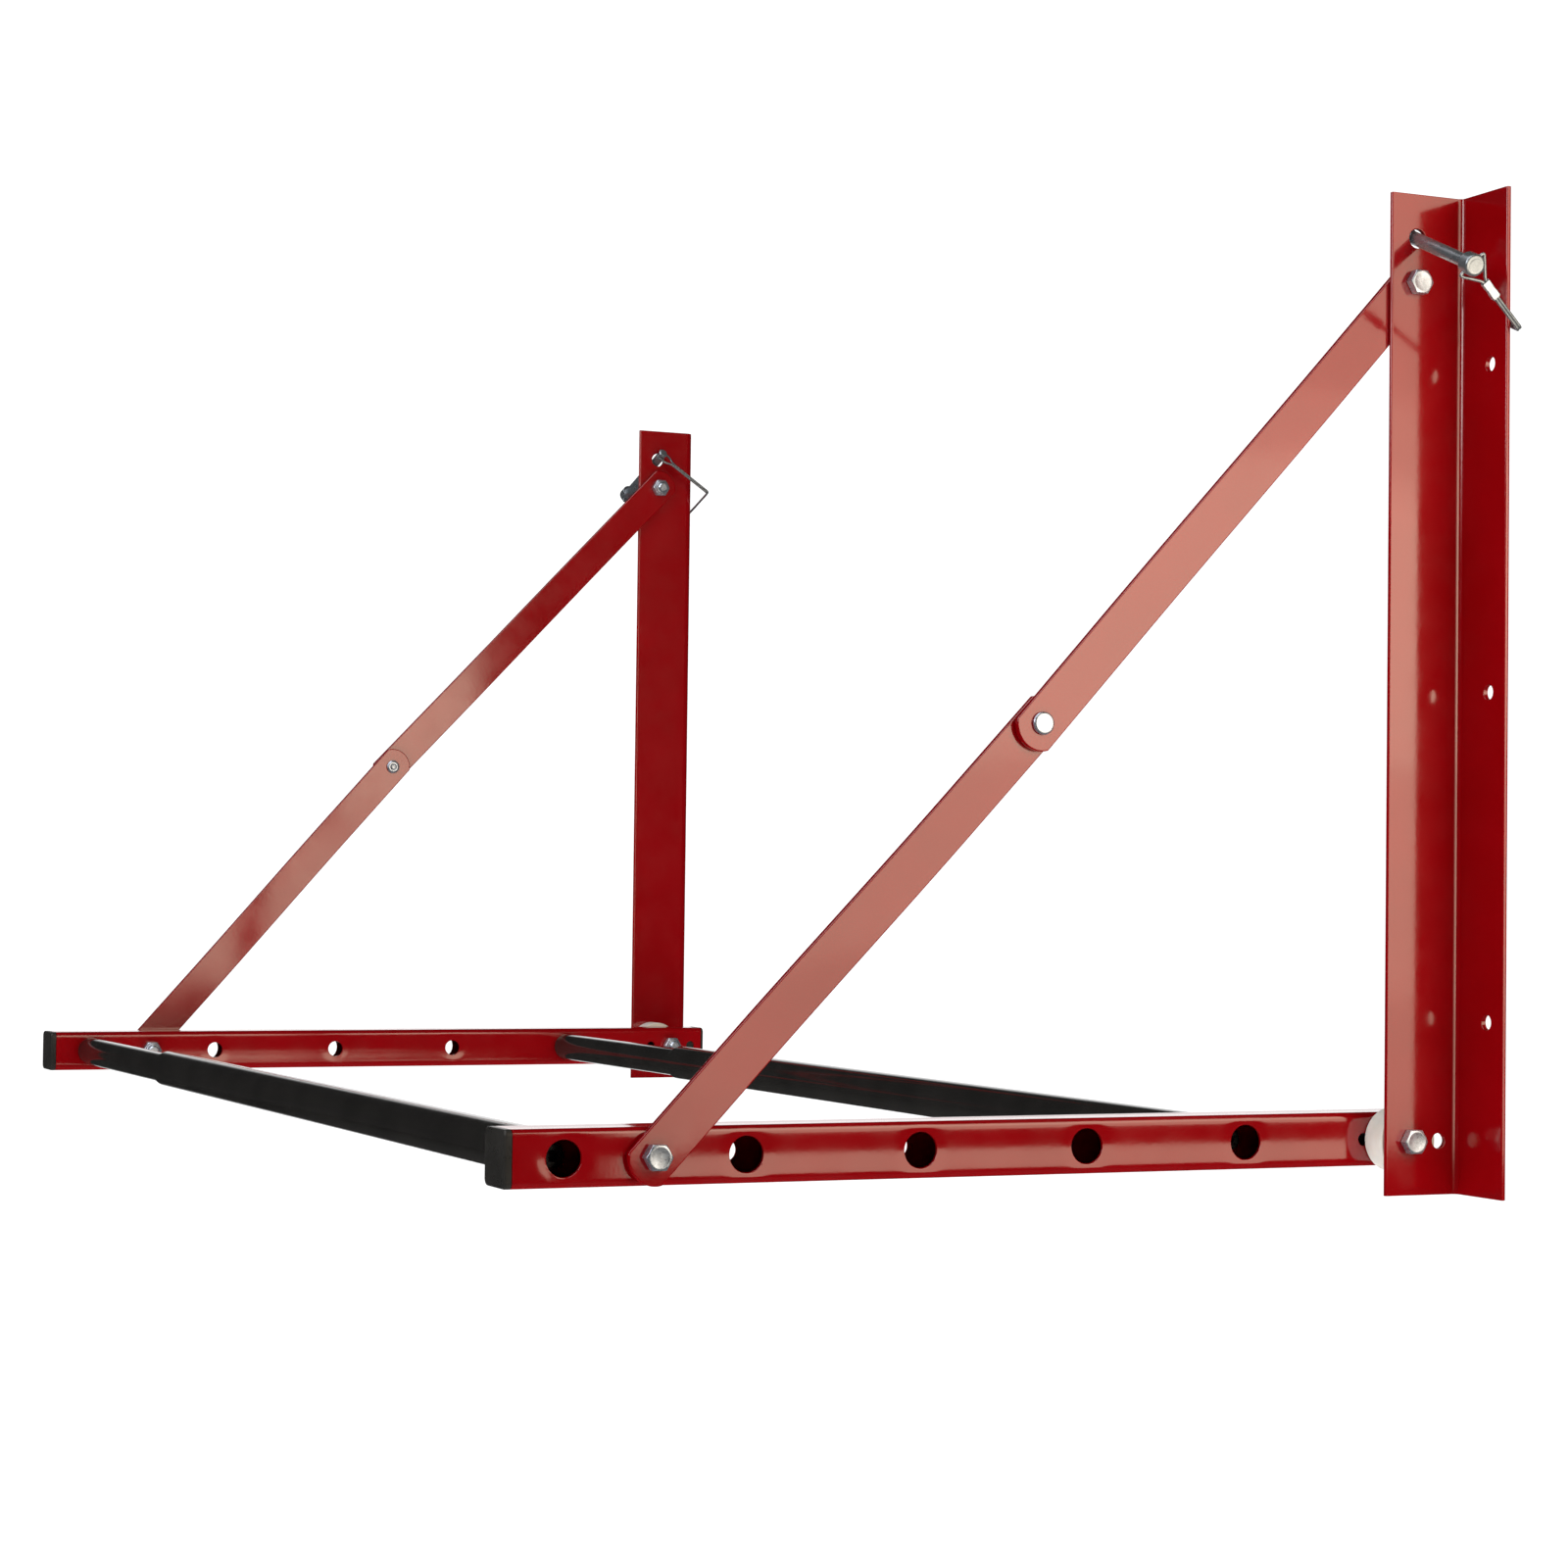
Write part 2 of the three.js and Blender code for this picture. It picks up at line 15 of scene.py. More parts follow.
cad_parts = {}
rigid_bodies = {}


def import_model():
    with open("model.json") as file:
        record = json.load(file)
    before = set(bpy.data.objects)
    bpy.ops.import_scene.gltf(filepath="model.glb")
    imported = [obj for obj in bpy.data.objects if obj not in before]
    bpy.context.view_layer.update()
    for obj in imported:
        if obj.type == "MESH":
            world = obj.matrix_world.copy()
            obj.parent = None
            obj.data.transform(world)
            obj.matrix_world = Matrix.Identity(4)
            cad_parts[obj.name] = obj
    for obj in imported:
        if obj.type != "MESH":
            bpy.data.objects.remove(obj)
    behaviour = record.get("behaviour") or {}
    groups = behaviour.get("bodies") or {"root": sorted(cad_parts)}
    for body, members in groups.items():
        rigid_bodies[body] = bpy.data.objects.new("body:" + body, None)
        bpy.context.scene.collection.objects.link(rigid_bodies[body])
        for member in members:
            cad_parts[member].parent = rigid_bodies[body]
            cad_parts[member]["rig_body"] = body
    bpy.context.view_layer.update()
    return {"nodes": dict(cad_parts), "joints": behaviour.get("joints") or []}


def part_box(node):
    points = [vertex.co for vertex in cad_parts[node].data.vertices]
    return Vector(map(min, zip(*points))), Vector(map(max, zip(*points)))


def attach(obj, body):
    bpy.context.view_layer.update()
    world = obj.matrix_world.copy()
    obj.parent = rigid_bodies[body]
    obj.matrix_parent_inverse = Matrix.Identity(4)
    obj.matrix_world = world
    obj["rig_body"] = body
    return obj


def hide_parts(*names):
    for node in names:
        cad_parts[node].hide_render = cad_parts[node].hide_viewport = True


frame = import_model()

MM = 0.001
SIDES = {"left": -1, "right": 1}
TUBE_KIND = {"left": "inner", "right": "outer"}
JOINTS = {joint["name"]: joint for joint in frame["joints"]}

# ---------------------------------------------------------------- driving dimensions, in mm
# Uprights: tip rounds the flanges' free edges, edge rounds the cut ends and the holes, and
# overcut is how far the holes' cutters reach past the sheet.
ANGLE = {"thick": 3, "bend": 3, "tip": 1.3, "edge": 0.35, "overcut": 5}
WALL_HOLE = {"diameter": 8.5, "inset": 30, "pitch": 183, "count": 3}
SIDE_HOLE = {"pivot": 8.6, "lock": 11, "spare_offset": 18}

# Arms: the tube's faces are slightly hollow. A station has an access hole on the outer side and
# a seat on the inner side, each in a shallow dish with a rounded lip. SECTION spaces the rings
# that the tube is drawn with: fine steps beside a station, coarse ones clear of it.
TUBE = {"wall": 2, "corner": 3.5, "hollow": 0.3, "bore_hollow": 0.1, "corner_steps": 8}
STATION = {"first": 95, "pitch": 100, "count": 5, "access": 19, "seat": 12}
DISH = {"reach": 3.8, "depth": {"access": 0.36, "seat": 0.22}, "flat": 14.5}
LIP = {"radius": 0.8, "sunk": 0.94}
SECTION = {"fine": 1.5, "beside": 13, "coarse": 20, "clear": 22}
SPARE_HOLE = {"diameter": 7.3, "offset": 18}
BRACE_REACH = 447
CAP = {"front": 4.2, "rear": 2.2, "edge": 1.6, "face_rings": (4, 9), "spigot": 15, "side": 30}
CAP_CORNER = {"shrink": 0.6, "least": 0.8, "spigot": 1.2}

# Braces: a bar is set over along the middle of its length, given as shares of that length.
BAR = {"width": 25, "thick": 4, "end_radius": 15, "edge": 0.75}
SET_OVER = {"start": 0.22, "share": 0.56, "margin": 0.04, "cuts": 28}
RIVET = {"shank": 8, "head": 2.2, "tail": 1.8}

# Fasteners: face and dished are shares of a hexagon's size over its flats, HEX_EASE softens its
# edges and HEAD_DISH is the hollow in a bolt's head. The thread is drawn as rings.
HEX = {"flats": 13, "head": 5.3, "nut": 5.6, "shank": 8, "face": 0.94, "dished": 0.8}
HEX_EASE = {"under": 0.15, "rise": 0.2, "rim": 0.18, "drop": 0.12}
HEAD_DISH = {"slope": 0.5, "slope_depth": 0.12, "depth": 0.15}
CHAMFER = math.radians(28)
THREAD = {
    "length": 13,
    "pitch": 1.25,
    "depth": 0.55,
    "flank": 0.4,
    "groove": 0.85,
    "lead": 1.3,
    "chamfer": 0.9,
}
RING_FILLET = {"pivot_spacer": 1.1, "end_plug": 0.5, "screw_washer": 0.3}
CAP_SCREW = {"shank": 8, "head": 8, "key": 6, "key_depth": 4}

# Lock pins: inside is the length behind the flange's outer face. The bow's wire runs from the
# head along a leg that droops beside the flange. CRIMP lists (share of length, size).
LOCK = {"shank": 7.5, "head": 12.5, "head_length": 9.5, "length": 81, "inside": 13.5}
LOCK_DROOP = math.radians(22.5)
LOCK_FORWARD = math.radians(4)
LEG_DROOP = math.radians(42)
NECK = {"diameter": 5, "width": 4.6, "from_tip": 2.4}
WIRE = {"diameter": 1.8, "pitch": 1.6, "leg": 51.5, "spread": 9.4, "meet": 13, "hole": 2.4}
WIRE_BEND = 2.4
SLEEVE = {"width": 5.1, "thick": 3.3, "length": 12, "start": 14, "corner": 0.54}
CRIMP_HALF = ((0, 0.94), (0.06, 1), (0.3, 1), (0.42, 0.93))
CRIMP = CRIMP_HALF + tuple((1 - share, size) for share, size in reversed(CRIMP_HALF))

# Crossbars: outer diameter and wall of each kind of tube.
CROSS_TUBE = {"outer": (25, 1.7), "inner": (21, 1.5)}

# Clearance between pieces, and how far other cutters reach past the piece that they cut.
GAP = 0.3
OVERCUT = 2


# ---------------------------------------------------------------- placing pieces
def cad_box(side, node):
    """Corners of a CAD node in mm, with a left-hand node mirrored to the right."""
    low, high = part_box(node)
    xs = sorted((SIDES[side] * low.x / MM, SIDES[side] * high.x / MM))
    return Vector((xs[0], low.y / MM, low.z / MM)), Vector((xs[1], high.y / MM, high.z / MM))


def joint_point(side, name):
    """A joint's place in mm, with a left-hand joint mirrored to the right."""
    x, y, z = JOINTS[f"{side}_{name}"]["pos_m"]
    return Vector((SIDES[side] * x, y, z)) / MM


def shade(mesh, sharp_angle):
    """Smooth shading that breaks at edges sharper than an angle in degrees."""
    for face in mesh.polygons:
        face.use_smooth = True
    mesh.set_sharp_from_angle(angle=math.radians(sharp_angle))


def make_object(bm, name):
    """Turns a drawn mesh into an object of the scene."""
    bmesh.ops.recalc_face_normals(bm, faces=bm.faces)
    mesh = bpy.data.meshes.new(name)
    bm.to_mesh(mesh)
    bm.free()
    made = bpy.data.objects.new(name, mesh)
    bpy.context.scene.collection.objects.link(made)
    return made


def bake(made):
    """Applies the object's modifiers."""
    graph = bpy.context.evaluated_depsgraph_get()
    baked = bpy.data.meshes.new_from_object(made.evaluated_get(graph))
    made.modifiers.clear()
    made.data = baked
    return made


def drill(made, cutters):
    """Cuts holes in a drawn piece with separate cutters, and removes them."""
    bm = bmesh.new()
    for cutter in cutters:
        bm.from_mesh(cutter.data)
        bpy.data.objects.remove(cutter)
    tool = make_object(bm, "cutters")
    cut = made.modifiers.new("holes", "BOOLEAN")
    cut.operation = "DIFFERENCE"
    cut.solver = "EXACT"
    cut.object = tool
    bake(made)
    bpy.data.objects.remove(tool)
    return made


def round_edges(made, width, segments=3, angle=35):
    """Rounds the edges that are sharper than an angle in degrees."""
    bevel = made.modifiers.new("edges", "BEVEL")
    bevel.width = width
    bevel.segments = segments
    bevel.limit_method = "ANGLE"
    bevel.angle_limit = math.radians(angle)
    bevel.use_clamp_overlap = True
    bevel.miter_outer = "MITER_ARC"
    bevel.harden_normals = False
    return bake(made)


def weigh_normals(made):
    """Lets the large faces set the shading, so that they look flat."""
    weighted = made.modifiers.new("normals", "WEIGHTED_NORMAL")
    weighted.weight = 100
    weighted.keep_sharp = True


def install(made, side, node, material, sharp=38, weighted=True):
    """Turns a piece drawn in mm for the right-hand side into a finished piece on its body."""
    scale = Matrix.Diagonal((SIDES[side] * MM, MM, MM, 1))
    made.data.transform(scale)
    if SIDES[side] < 0:
        made.data.flip_normals()
    shade(made.data, sharp)
    if weighted:
        weigh_normals(made)
    made.data.materials.clear()
    made.data.materials.append(material)
    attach(made, frame["nodes"][node]["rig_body"])
    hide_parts(node)
    return made


# ---------------------------------------------------------------- drawing tools
def filleted(profile, radius, steps=4):
    """A polyline with its inside corners rounded. Points are (x, y) pairs."""
    points = [Vector(point) for point in profile]
    made = [points[0]]
    for before, here, after in zip(points, points[1:], points[2:]):
        back, ahead = before - here, after - here
        reach = min(radius, 0.45 * back.length, 0.45 * ahead.length)
        if reach < 1e-4 or back.angle(ahead) > math.pi - 0.02:
            made.append(here)
            continue
        start = here + back.normalized() * reach
        end = here + ahead.normalized() * reach
        for step in range(steps + 1):
            t = step / steps
            made.append(start.lerp(here, t).lerp(here.lerp(end, t), t))
    made.append(points[-1])
    return made


def lathe(name, profile, centre=(0, 0), fillet=0, segments=64):
    """A piece turned about an axis along X through y, z. The profile lists (x, radius)."""
    points = filleted(profile, fillet) if fillet else [Vector(point) for point in profile]
    bm = bmesh.new()
    rings = []
    for x, radius in points:
        if radius < 1e-6:
            rings.append([bm.verts.new((x, centre[0], centre[1]))])
            continue
        ring = []
        for i in range(segments):
            angle = 2 * math.pi * i / segments
            y = centre[0] + radius * math.cos(angle)
            z = centre[1] + radius * math.sin(angle)
            ring.append(bm.verts.new((x, y, z)))
        rings.append(ring)
    for a, b in zip(rings, rings[1:]):
        skin(bm, a, b)
    return make_object(bm, name)


def skin(bm, a, b):
    """Faces between two rings, either of which may be a single point."""
    count = max(len(a), len(b))
    for i in range(count):
        j = (i + 1) % count
        if len(a) == 1:
            corners = [a[0], b[j], b[i]]
        elif len(b) == 1:
            corners = [a[i], a[j], b[0]]
        else:
            corners = [a[i], a[j], b[j], b[i]]
        bm.faces.new(corners)


def arc(centre, radius, start, end, steps):
    """Points on an arc, with angles in degrees."""
    made = []
    for i in range(steps + 1):
        angle = math.radians(start + (end - start) * i / steps)
        made.append((centre[0] + radius * math.cos(angle), centre[1] + radius * math.sin(angle)))
    return made


def slab(name, outline, low, high, place):
    """A solid of one outline between two heights. place turns (u, v, height) into a point."""
    bm = bmesh.new()
    bottom = [bm.verts.new(place(u, v, low)) for u, v in outline]
    top = [bm.verts.new(place(u, v, high)) for u, v in outline]
    bm.faces.new(bottom)
    bm.faces.new(top)
    skin(bm, bottom, top)
    return make_object(bm, name)


def rod_cutter(diameter, axis, centre, low, high):
    """A round cutter along X or Y. centre holds the other two coordinates."""
    made = lathe("cutter", [(low, 0), (low, diameter / 2), (high, diameter / 2), (high, 0)], centre)
    if axis == "Y":
        made.data.transform(Matrix(((0, 1, 0, 0), (1, 0, 0, 0), (0, 0, 1, 0), (0, 0, 0, 1))))
        made.data.flip_normals()
    return made


def rounded_square(side, radius, steps, bow=0):
    """Outline of a square with round corners and faces that dip by bow at their middle."""
    reach = side / 2 - radius
    made = []
    for corner, (x, y) in enumerate(((1, 1), (-1, 1), (-1, -1), (1, -1))):
        made += arc((x * reach, y * reach), radius, 90 * corner, 90 * corner + 90, steps)
        if bow:
            made += dipped_face(side, reach, corner, bow)
    return made


def dipped_face(side, reach, corner, bow, steps=20):
    """Points of one face, from its corner to the next, that curve inwards by bow."""
    made = []
    along = Matrix.Rotation(math.radians(90 * corner), 2)
    for i in range(1, steps):
        t = 1 - 2 * i / steps
        depth = side / 2 - bow * (1 - t * t) ** 2
        point = along @ Vector((t * reach, depth))
        made.append((point.x, point.y))
    return made


# ---------------------------------------------------------------- materials
def new_material(name):
    """A new material, its node tree and its main shader."""
    made = bpy.data.materials.new(name)
    made.use_nodes = True
    return made, made.node_tree, made.node_tree.nodes["Principled BSDF"]


def add_noise(tree, scale, detail=3.0, roughness=0.5, stretch=None):
    """A noise texture in the piece's own metres, stretched where a stretch is given."""
    coordinates = tree.nodes.new("ShaderNodeTexCoord")
    noise = tree.nodes.new("ShaderNodeTexNoise")
    noise.inputs["Scale"].default_value = scale
    noise.inputs["Detail"].default_value = detail
    noise.inputs["Roughness"].default_value = roughness
    source = coordinates.outputs["Object"]
    if stretch:
        mapping = tree.nodes.new("ShaderNodeMapping")
        mapping.inputs["Scale"].default_value = stretch
        tree.links.new(source, mapping.inputs["Vector"])
        source = mapping.outputs["Vector"]
    tree.links.new(source, noise.inputs["Vector"])
    return noise.outputs["Fac"]


def remap(tree, value, low, high, start=0.35, end=0.65):
    """Maps a noise value onto a range."""
    node = tree.nodes.new("ShaderNodeMapRange")
    node.inputs["From Min"].default_value = start
    node.inputs["From Max"].default_value = end
    node.inputs["To Min"].default_value = low
    node.inputs["To Max"].default_value = high
    tree.links.new(value, node.inputs["Value"])
    return node.outputs["Result"]


def tint(tree, shader, value, first, second, start=0.35, end=0.65):
    """Colours the surface between two colours by a noise value."""
    ramp = tree.nodes.new("ShaderNodeValToRGB")
    ramp.color_ramp.elements[0].position = start
    ramp.color_ramp.elements[0].color = (*first, 1)
    ramp.color_ramp.elements[1].position = end
    ramp.color_ramp.elements[1].color = (*second, 1)
    tree.links.new(value, ramp.inputs["Fac"])
    tree.links.new(ramp.outputs["Color"], shader.inputs["Base Color"])


def roughen(tree, shader, value, low, high):
    """Spreads the surface's roughness over a range by a noise value."""
    tree.links.new(remap(tree, value, low, high), shader.inputs["Roughness"])


def add_bumps(tree, shader, layers):
    """Stacks bump layers. Each is (height value, depth in mm, strength)."""
    normal = None
    for height, depth, strength in layers:
        bump = tree.nodes.new("ShaderNodeBump")
        bump.inputs["Distance"].default_value = depth * MM
        bump.inputs["Strength"].default_value = strength
        tree.links.new(height, bump.inputs["Height"])
        if normal:
            tree.links.new(normal, bump.inputs["Normal"])
        normal = bump.outputs["Normal"]
    tree.links.new(normal, shader.inputs["Normal"])


def red_powder_coat():
    """Glossy deep red powder coat with orange peel and slightly uneven gloss."""
    made, tree, shader = new_material("red_powder_coat")
    cloud = add_noise(tree, 22, detail=2)
    tint(tree, shader, cloud, (0.24, 0.0002, 0.002), (0.262, 0.0004, 0.0028))
    gloss = add_noise(tree, 60, detail=4)
    roughen(tree, shader, gloss, 0.09, 0.13)
    shader.inputs["IOR"].default_value = 1.76
    peel = add_noise(tree, 380, detail=1)
    fine = add_noise(tree, 900, detail=1)
    add_bumps(tree, shader, [(peel, 0.03, 0.42), (fine, 0.003, 0.25)])
    return made


def black_gloss_paint():
    """High-gloss black paint on the round tubes."""
    made, tree, shader = new_material("black_gloss_paint")
    cloud = add_noise(tree, 30, detail=3)
    tint(tree, shader, cloud, (0.012, 0.0115, 0.0108), (0.017, 0.016, 0.015))
    gloss = add_noise(tree, 80, detail=4)
    roughen(tree, shader, gloss, 0.09, 0.13)
    peel = add_noise(tree, 300, detail=1)
    add_bumps(tree, shader, [(peel, 0.01, 0.2)])
    return made


def zinc_plate():
    """Bright zinc plate on bolts, nuts, rivets and sleeves."""
    made, tree, shader = new_material("zinc_plate")
    cloud = add_noise(tree, 420, detail=5)
    tint(tree, shader, cloud, (0.46, 0.51, 0.59), (0.60, 0.67, 0.78))
    shader.inputs["Metallic"].default_value = 0.85
    spots = add_noise(tree, 700, detail=4, roughness=0.7)
    roughen(tree, shader, spots, 0.24, 0.36)
    pits = add_noise(tree, 900, detail=3)
    add_bumps(tree, shader, [(pits, 0.02, 0.25)])
    return made


def plain_steel():
    """Drawn bright steel on the lock pins and their wire bows."""
    made, tree, shader = new_material("plain_steel")
    cloud = add_noise(tree, 260, detail=5)
    tint(tree, shader, cloud, (0.26, 0.29, 0.32), (0.33, 0.365, 0.40))
    shader.inputs["Metallic"].default_value = 0.8
    drawn = add_noise(tree, 300, detail=4, stretch=(0.1, 1, 1))
    roughen(tree, shader, drawn, 0.24, 0.34)
    scratches = add_noise(tree, 900, detail=3, stretch=(0.08, 1, 1))
    add_bumps(tree, shader, [(scratches, 0.01, 0.2)])
    return made


def black_oxide():
    """Blackened steel of the socket screws."""
    made, tree, shader = new_material("black_oxide")
    cloud = add_noise(tree, 300, detail=3)
    tint(tree, shader, cloud, (0.03, 0.03, 0.032), (0.055, 0.055, 0.058))
    shader.inputs["Metallic"].default_value = 1.0
    gloss = add_noise(tree, 400, detail=3)
    roughen(tree, shader, gloss, 0.22, 0.34)
    grain = add_noise(tree, 900, detail=2)
    add_bumps(tree, shader, [(grain, 0.01, 0.2)])
    return made


def natural_nylon():
    """Milky nylon of the pivot spacers and the nuts' locking rings."""
    made, tree, shader = new_material("natural_nylon")
    cloud = add_noise(tree, 90, detail=3)
    tint(tree, shader, cloud, (0.74, 0.72, 0.66), (0.82, 0.80, 0.75))
    shader.inputs["Subsurface Weight"].default_value = 0.25
    shader.inputs["Subsurface Radius"].default_value = (0.004, 0.003, 0.002)
    gloss = add_noise(tree, 300, detail=3)
    roughen(tree, shader, gloss, 0.38, 0.5)
    turned_marks = add_noise(tree, 1100, detail=2)
    add_bumps(tree, shader, [(turned_marks, 0.03, 0.15)])
    return made


def black_plastic():
    """Satin charcoal plastic of the end caps, with a fine moulded grain."""
    made, tree, shader = new_material("black_moulded_plastic")
    shader.inputs["Specular IOR Level"].default_value = 0.25
    cloud = add_noise(tree, 60, detail=3)
    tint(tree, shader, cloud, (0.022, 0.021, 0.0195), (0.030, 0.0285, 0.0265))
    gloss = add_noise(tree, 240, detail=4)
    roughen(tree, shader, gloss, 0.26, 0.36)
    grain = add_noise(tree, 900, detail=2)
    add_bumps(tree, shader, [(grain, 0.01, 0.3)])
    return made


RED = red_powder_coat()
BLACK = black_gloss_paint()
ZINC = zinc_plate()
STEEL = plain_steel()
OXIDE = black_oxide()
NYLON = natural_nylon()
PLASTIC = black_plastic()


# ---------------------------------------------------------------- uprights
def angle_outline(low, high):
    """Section of the bent angle, as (x, y), with the wall plane at y = 0."""
    thick, bend, tip = ANGLE["thick"], ANGLE["bend"], ANGLE["tip"]
    outer = bend + thick
    centre = (low.x + outer, -outer)
    return (
        arc(centre, outer, 180, 90, 12)
        + arc((high.x - tip, -tip), tip, 90, 0, 4)
        + arc((high.x - tip, tip - thick), tip, 0, -90, 4)
        + arc(centre, bend, 90, 180, 12)
        + arc((low.x + thick - tip, low.y + tip), tip, 0, -90, 4)
        + arc((low.x + tip, low.y + tip), tip, -90, -180, 4)
    )


def add_upright(side):
    """A bent steel angle with its wall holes, pivot and spare hole, brace hole and pin hole."""
    node = f"{side}_upright"
    low, high = cad_box(side, node)
    outline = angle_outline(low, high)
    made = slab(node + "_finished", outline, low.z, high.z, lambda u, v, h: (u, v, h))
    pivot = joint_point(side, "arm_fold")
    brace = joint_point(side, "upper_bar_swing")
    beyond = ANGLE["overcut"]
    deep = ANGLE["thick"] + beyond
    cutters = []
    for i in range(WALL_HOLE["count"]):
        z = (low.z + high.z) / 2 + (i - 1) * WALL_HOLE["pitch"]
        centre = (low.x + WALL_HOLE["inset"], z)
        cutters.append(rod_cutter(WALL_HOLE["diameter"], "Y", centre, -deep, beyond))
    side_holes = [
        (SIDE_HOLE["pivot"], pivot.y, pivot.z),
        (SIDE_HOLE["pivot"], pivot.y + SIDE_HOLE["spare_offset"], pivot.z),
        (SIDE_HOLE["pivot"], brace.y, brace.z),
        (SIDE_HOLE["lock"], LOCK_PLACE.y, LOCK_PLACE.z),
    ]
    for diameter, y, z in side_holes:
        cutters.append(rod_cutter(diameter, "X", (y, z), low.x - beyond, low.x + deep))
    drill(made, cutters)
    round_edges(made, ANGLE["edge"], angle=50)
    return install(made, side, node, RED)


# ---------------------------------------------------------------- arms
def lipped_cutter(kind, centre, face, inwards):
    """Cuts a punched hole with a rounded lip. inwards is -1 or 1 along X."""
    radius, lip = STATION[kind] / 2, LIP["radius"]
    depth = LIP["sunk"] * DISH["depth"][kind]
    bottom = -TUBE["wall"] - 2 * OVERCUT
    profile = [(OVERCUT, 0), (OVERCUT, radius + lip)]
    profile += arc((-depth - lip, radius + lip), lip, 0, -90, 6)
    profile += [(bottom, radius), (bottom, 0)]
    made = lathe("cutter", profile, centre, segments=72)
    made.data.transform(Matrix.Translation((face, 0, 0)) @ Matrix.Diagonal((-inwards, 1, 1, 1)))
    if inwards > 0:
        made.data.flip_normals()
    return made


def station_places(pivot):
    """Places along the arm where a crossbar can be fixed."""
    return [pivot.y - STATION["first"] - i * STATION["pitch"] for i in range(STATION["count"])]


def arm_cutters(low, high, pivot):
    """Cutters for the pivot, spare and brace holes and for the crossbar stations."""
    holes = []
    for offset in (0, SPARE_HOLE["offset"], -SPARE_HOLE["offset"], -BRACE_REACH):
        diameter = SIDE_HOLE["pivot"] if offset in (0, -BRACE_REACH) else SPARE_HOLE["diameter"]
        centre = (pivot.y + offset, pivot.z)
        holes.append(rod_cutter(diameter, "X", centre, low.x - OVERCUT, high.x + OVERCUT))
    for y in station_places(pivot):
        holes.append(lipped_cutter("access", (y, pivot.z), high.x, -1))
        holes.append(lipped_cutter("seat", (y, pivot.z), low.x, 1))
    return holes


def dish(kind, y, z, stations):
    """How far a punched face of the arm dips at a point."""
    away = min(math.hypot(y - station, z) for station in stations) - STATION[kind] / 2
    fade = max(0, 1 - (z / DISH["flat"]) ** 6)
    return DISH["depth"][kind] * fade * math.exp(-((max(away, 0) / DISH["reach"]) ** 2))


def ring_places(low, high, stations):
    """Sections along the arm, close together at the punched holes."""
    places = {low.y, high.y}
    steps = range(-SECTION["beside"], SECTION["beside"] + 1)
    for station in stations:
        places |= {station + SECTION["fine"] * step for step in steps}
    coarse, clear = SECTION["coarse"], SECTION["clear"]
    spread = [low.y + coarse * i for i in range(1, int((high.y - low.y) / coarse))]
    places |= {y for y in spread if min(abs(y - station) for station in stations) > clear}
    return sorted(y for y in places if low.y <= y <= high.y)


def section(bm, outline, centre, y):
    """A ring of an outline across Y."""
    return [bm.verts.new((centre.x + u, y, centre.z + v)) for u, v in outline]


def dished_section(bm, outline, centre, y, stations, side_face):
    """A ring of the arm whose side faces, beyond side_face, dip at the punched holes."""
    ring = []
    for u, v in outline:
        kind = "access" if u > 0 else "seat"
        dip = dish(kind, y, v, stations) if abs(u) > side_face else 0
        ring.append(bm.verts.new((centre.x + u - math.copysign(dip, u), y, centre.z + v)))
    return ring


def add_arm(side):
    """A square tube with soft corners, slightly hollow faces and dished, punched holes."""
    node = f"{side}_arm"
    low, high = cad_box(side, node)
    pivot = joint_point(side, "arm_fold")
    centre = (low + high) / 2
    width = high.x - low.x
    stations = station_places(pivot)
    wall, corner, steps = TUBE["wall"], TUBE["corner"], TUBE["corner_steps"]
    outer = rounded_square(width, corner, steps, TUBE["hollow"])
    inner = rounded_square(width - 2 * wall, corner - wall, steps, TUBE["bore_hollow"])
    side_face = width / 2 - corner
    bm = bmesh.new()
    rings = []
    for y in ring_places(low, high, stations):
        rings.append(dished_section(bm, outer, centre, y, stations, side_face))
    bore = [section(bm, inner, centre, y) for y in (low.y, high.y)]
    for a, b in zip(rings, rings[1:]):
        skin(bm, a, b)
    skin(bm, *bore)
    skin(bm, rings[0], bore[0])
    skin(bm, rings[-1], bore[1])
    made = make_object(bm, node + "_finished")
    drill(made, arm_cutters(low, high, pivot))
    return install(made, side, node, RED, sharp=50)


def cap_profile(seat, face, outward):
    """Rings of an end cap's cover, as (place along Y, inset), from its seat to its face."""
    edge = CAP["edge"]
    rings = [(seat, 0), (face - outward * edge, 0)]
    for i in range(1, 7):
        angle = math.radians(15 * i)
        rings.append((face - outward * edge * (1 - math.sin(angle)), edge * (1 - math.cos(angle))))
    return rings + [(face, inset) for inset in CAP["face_rings"]]


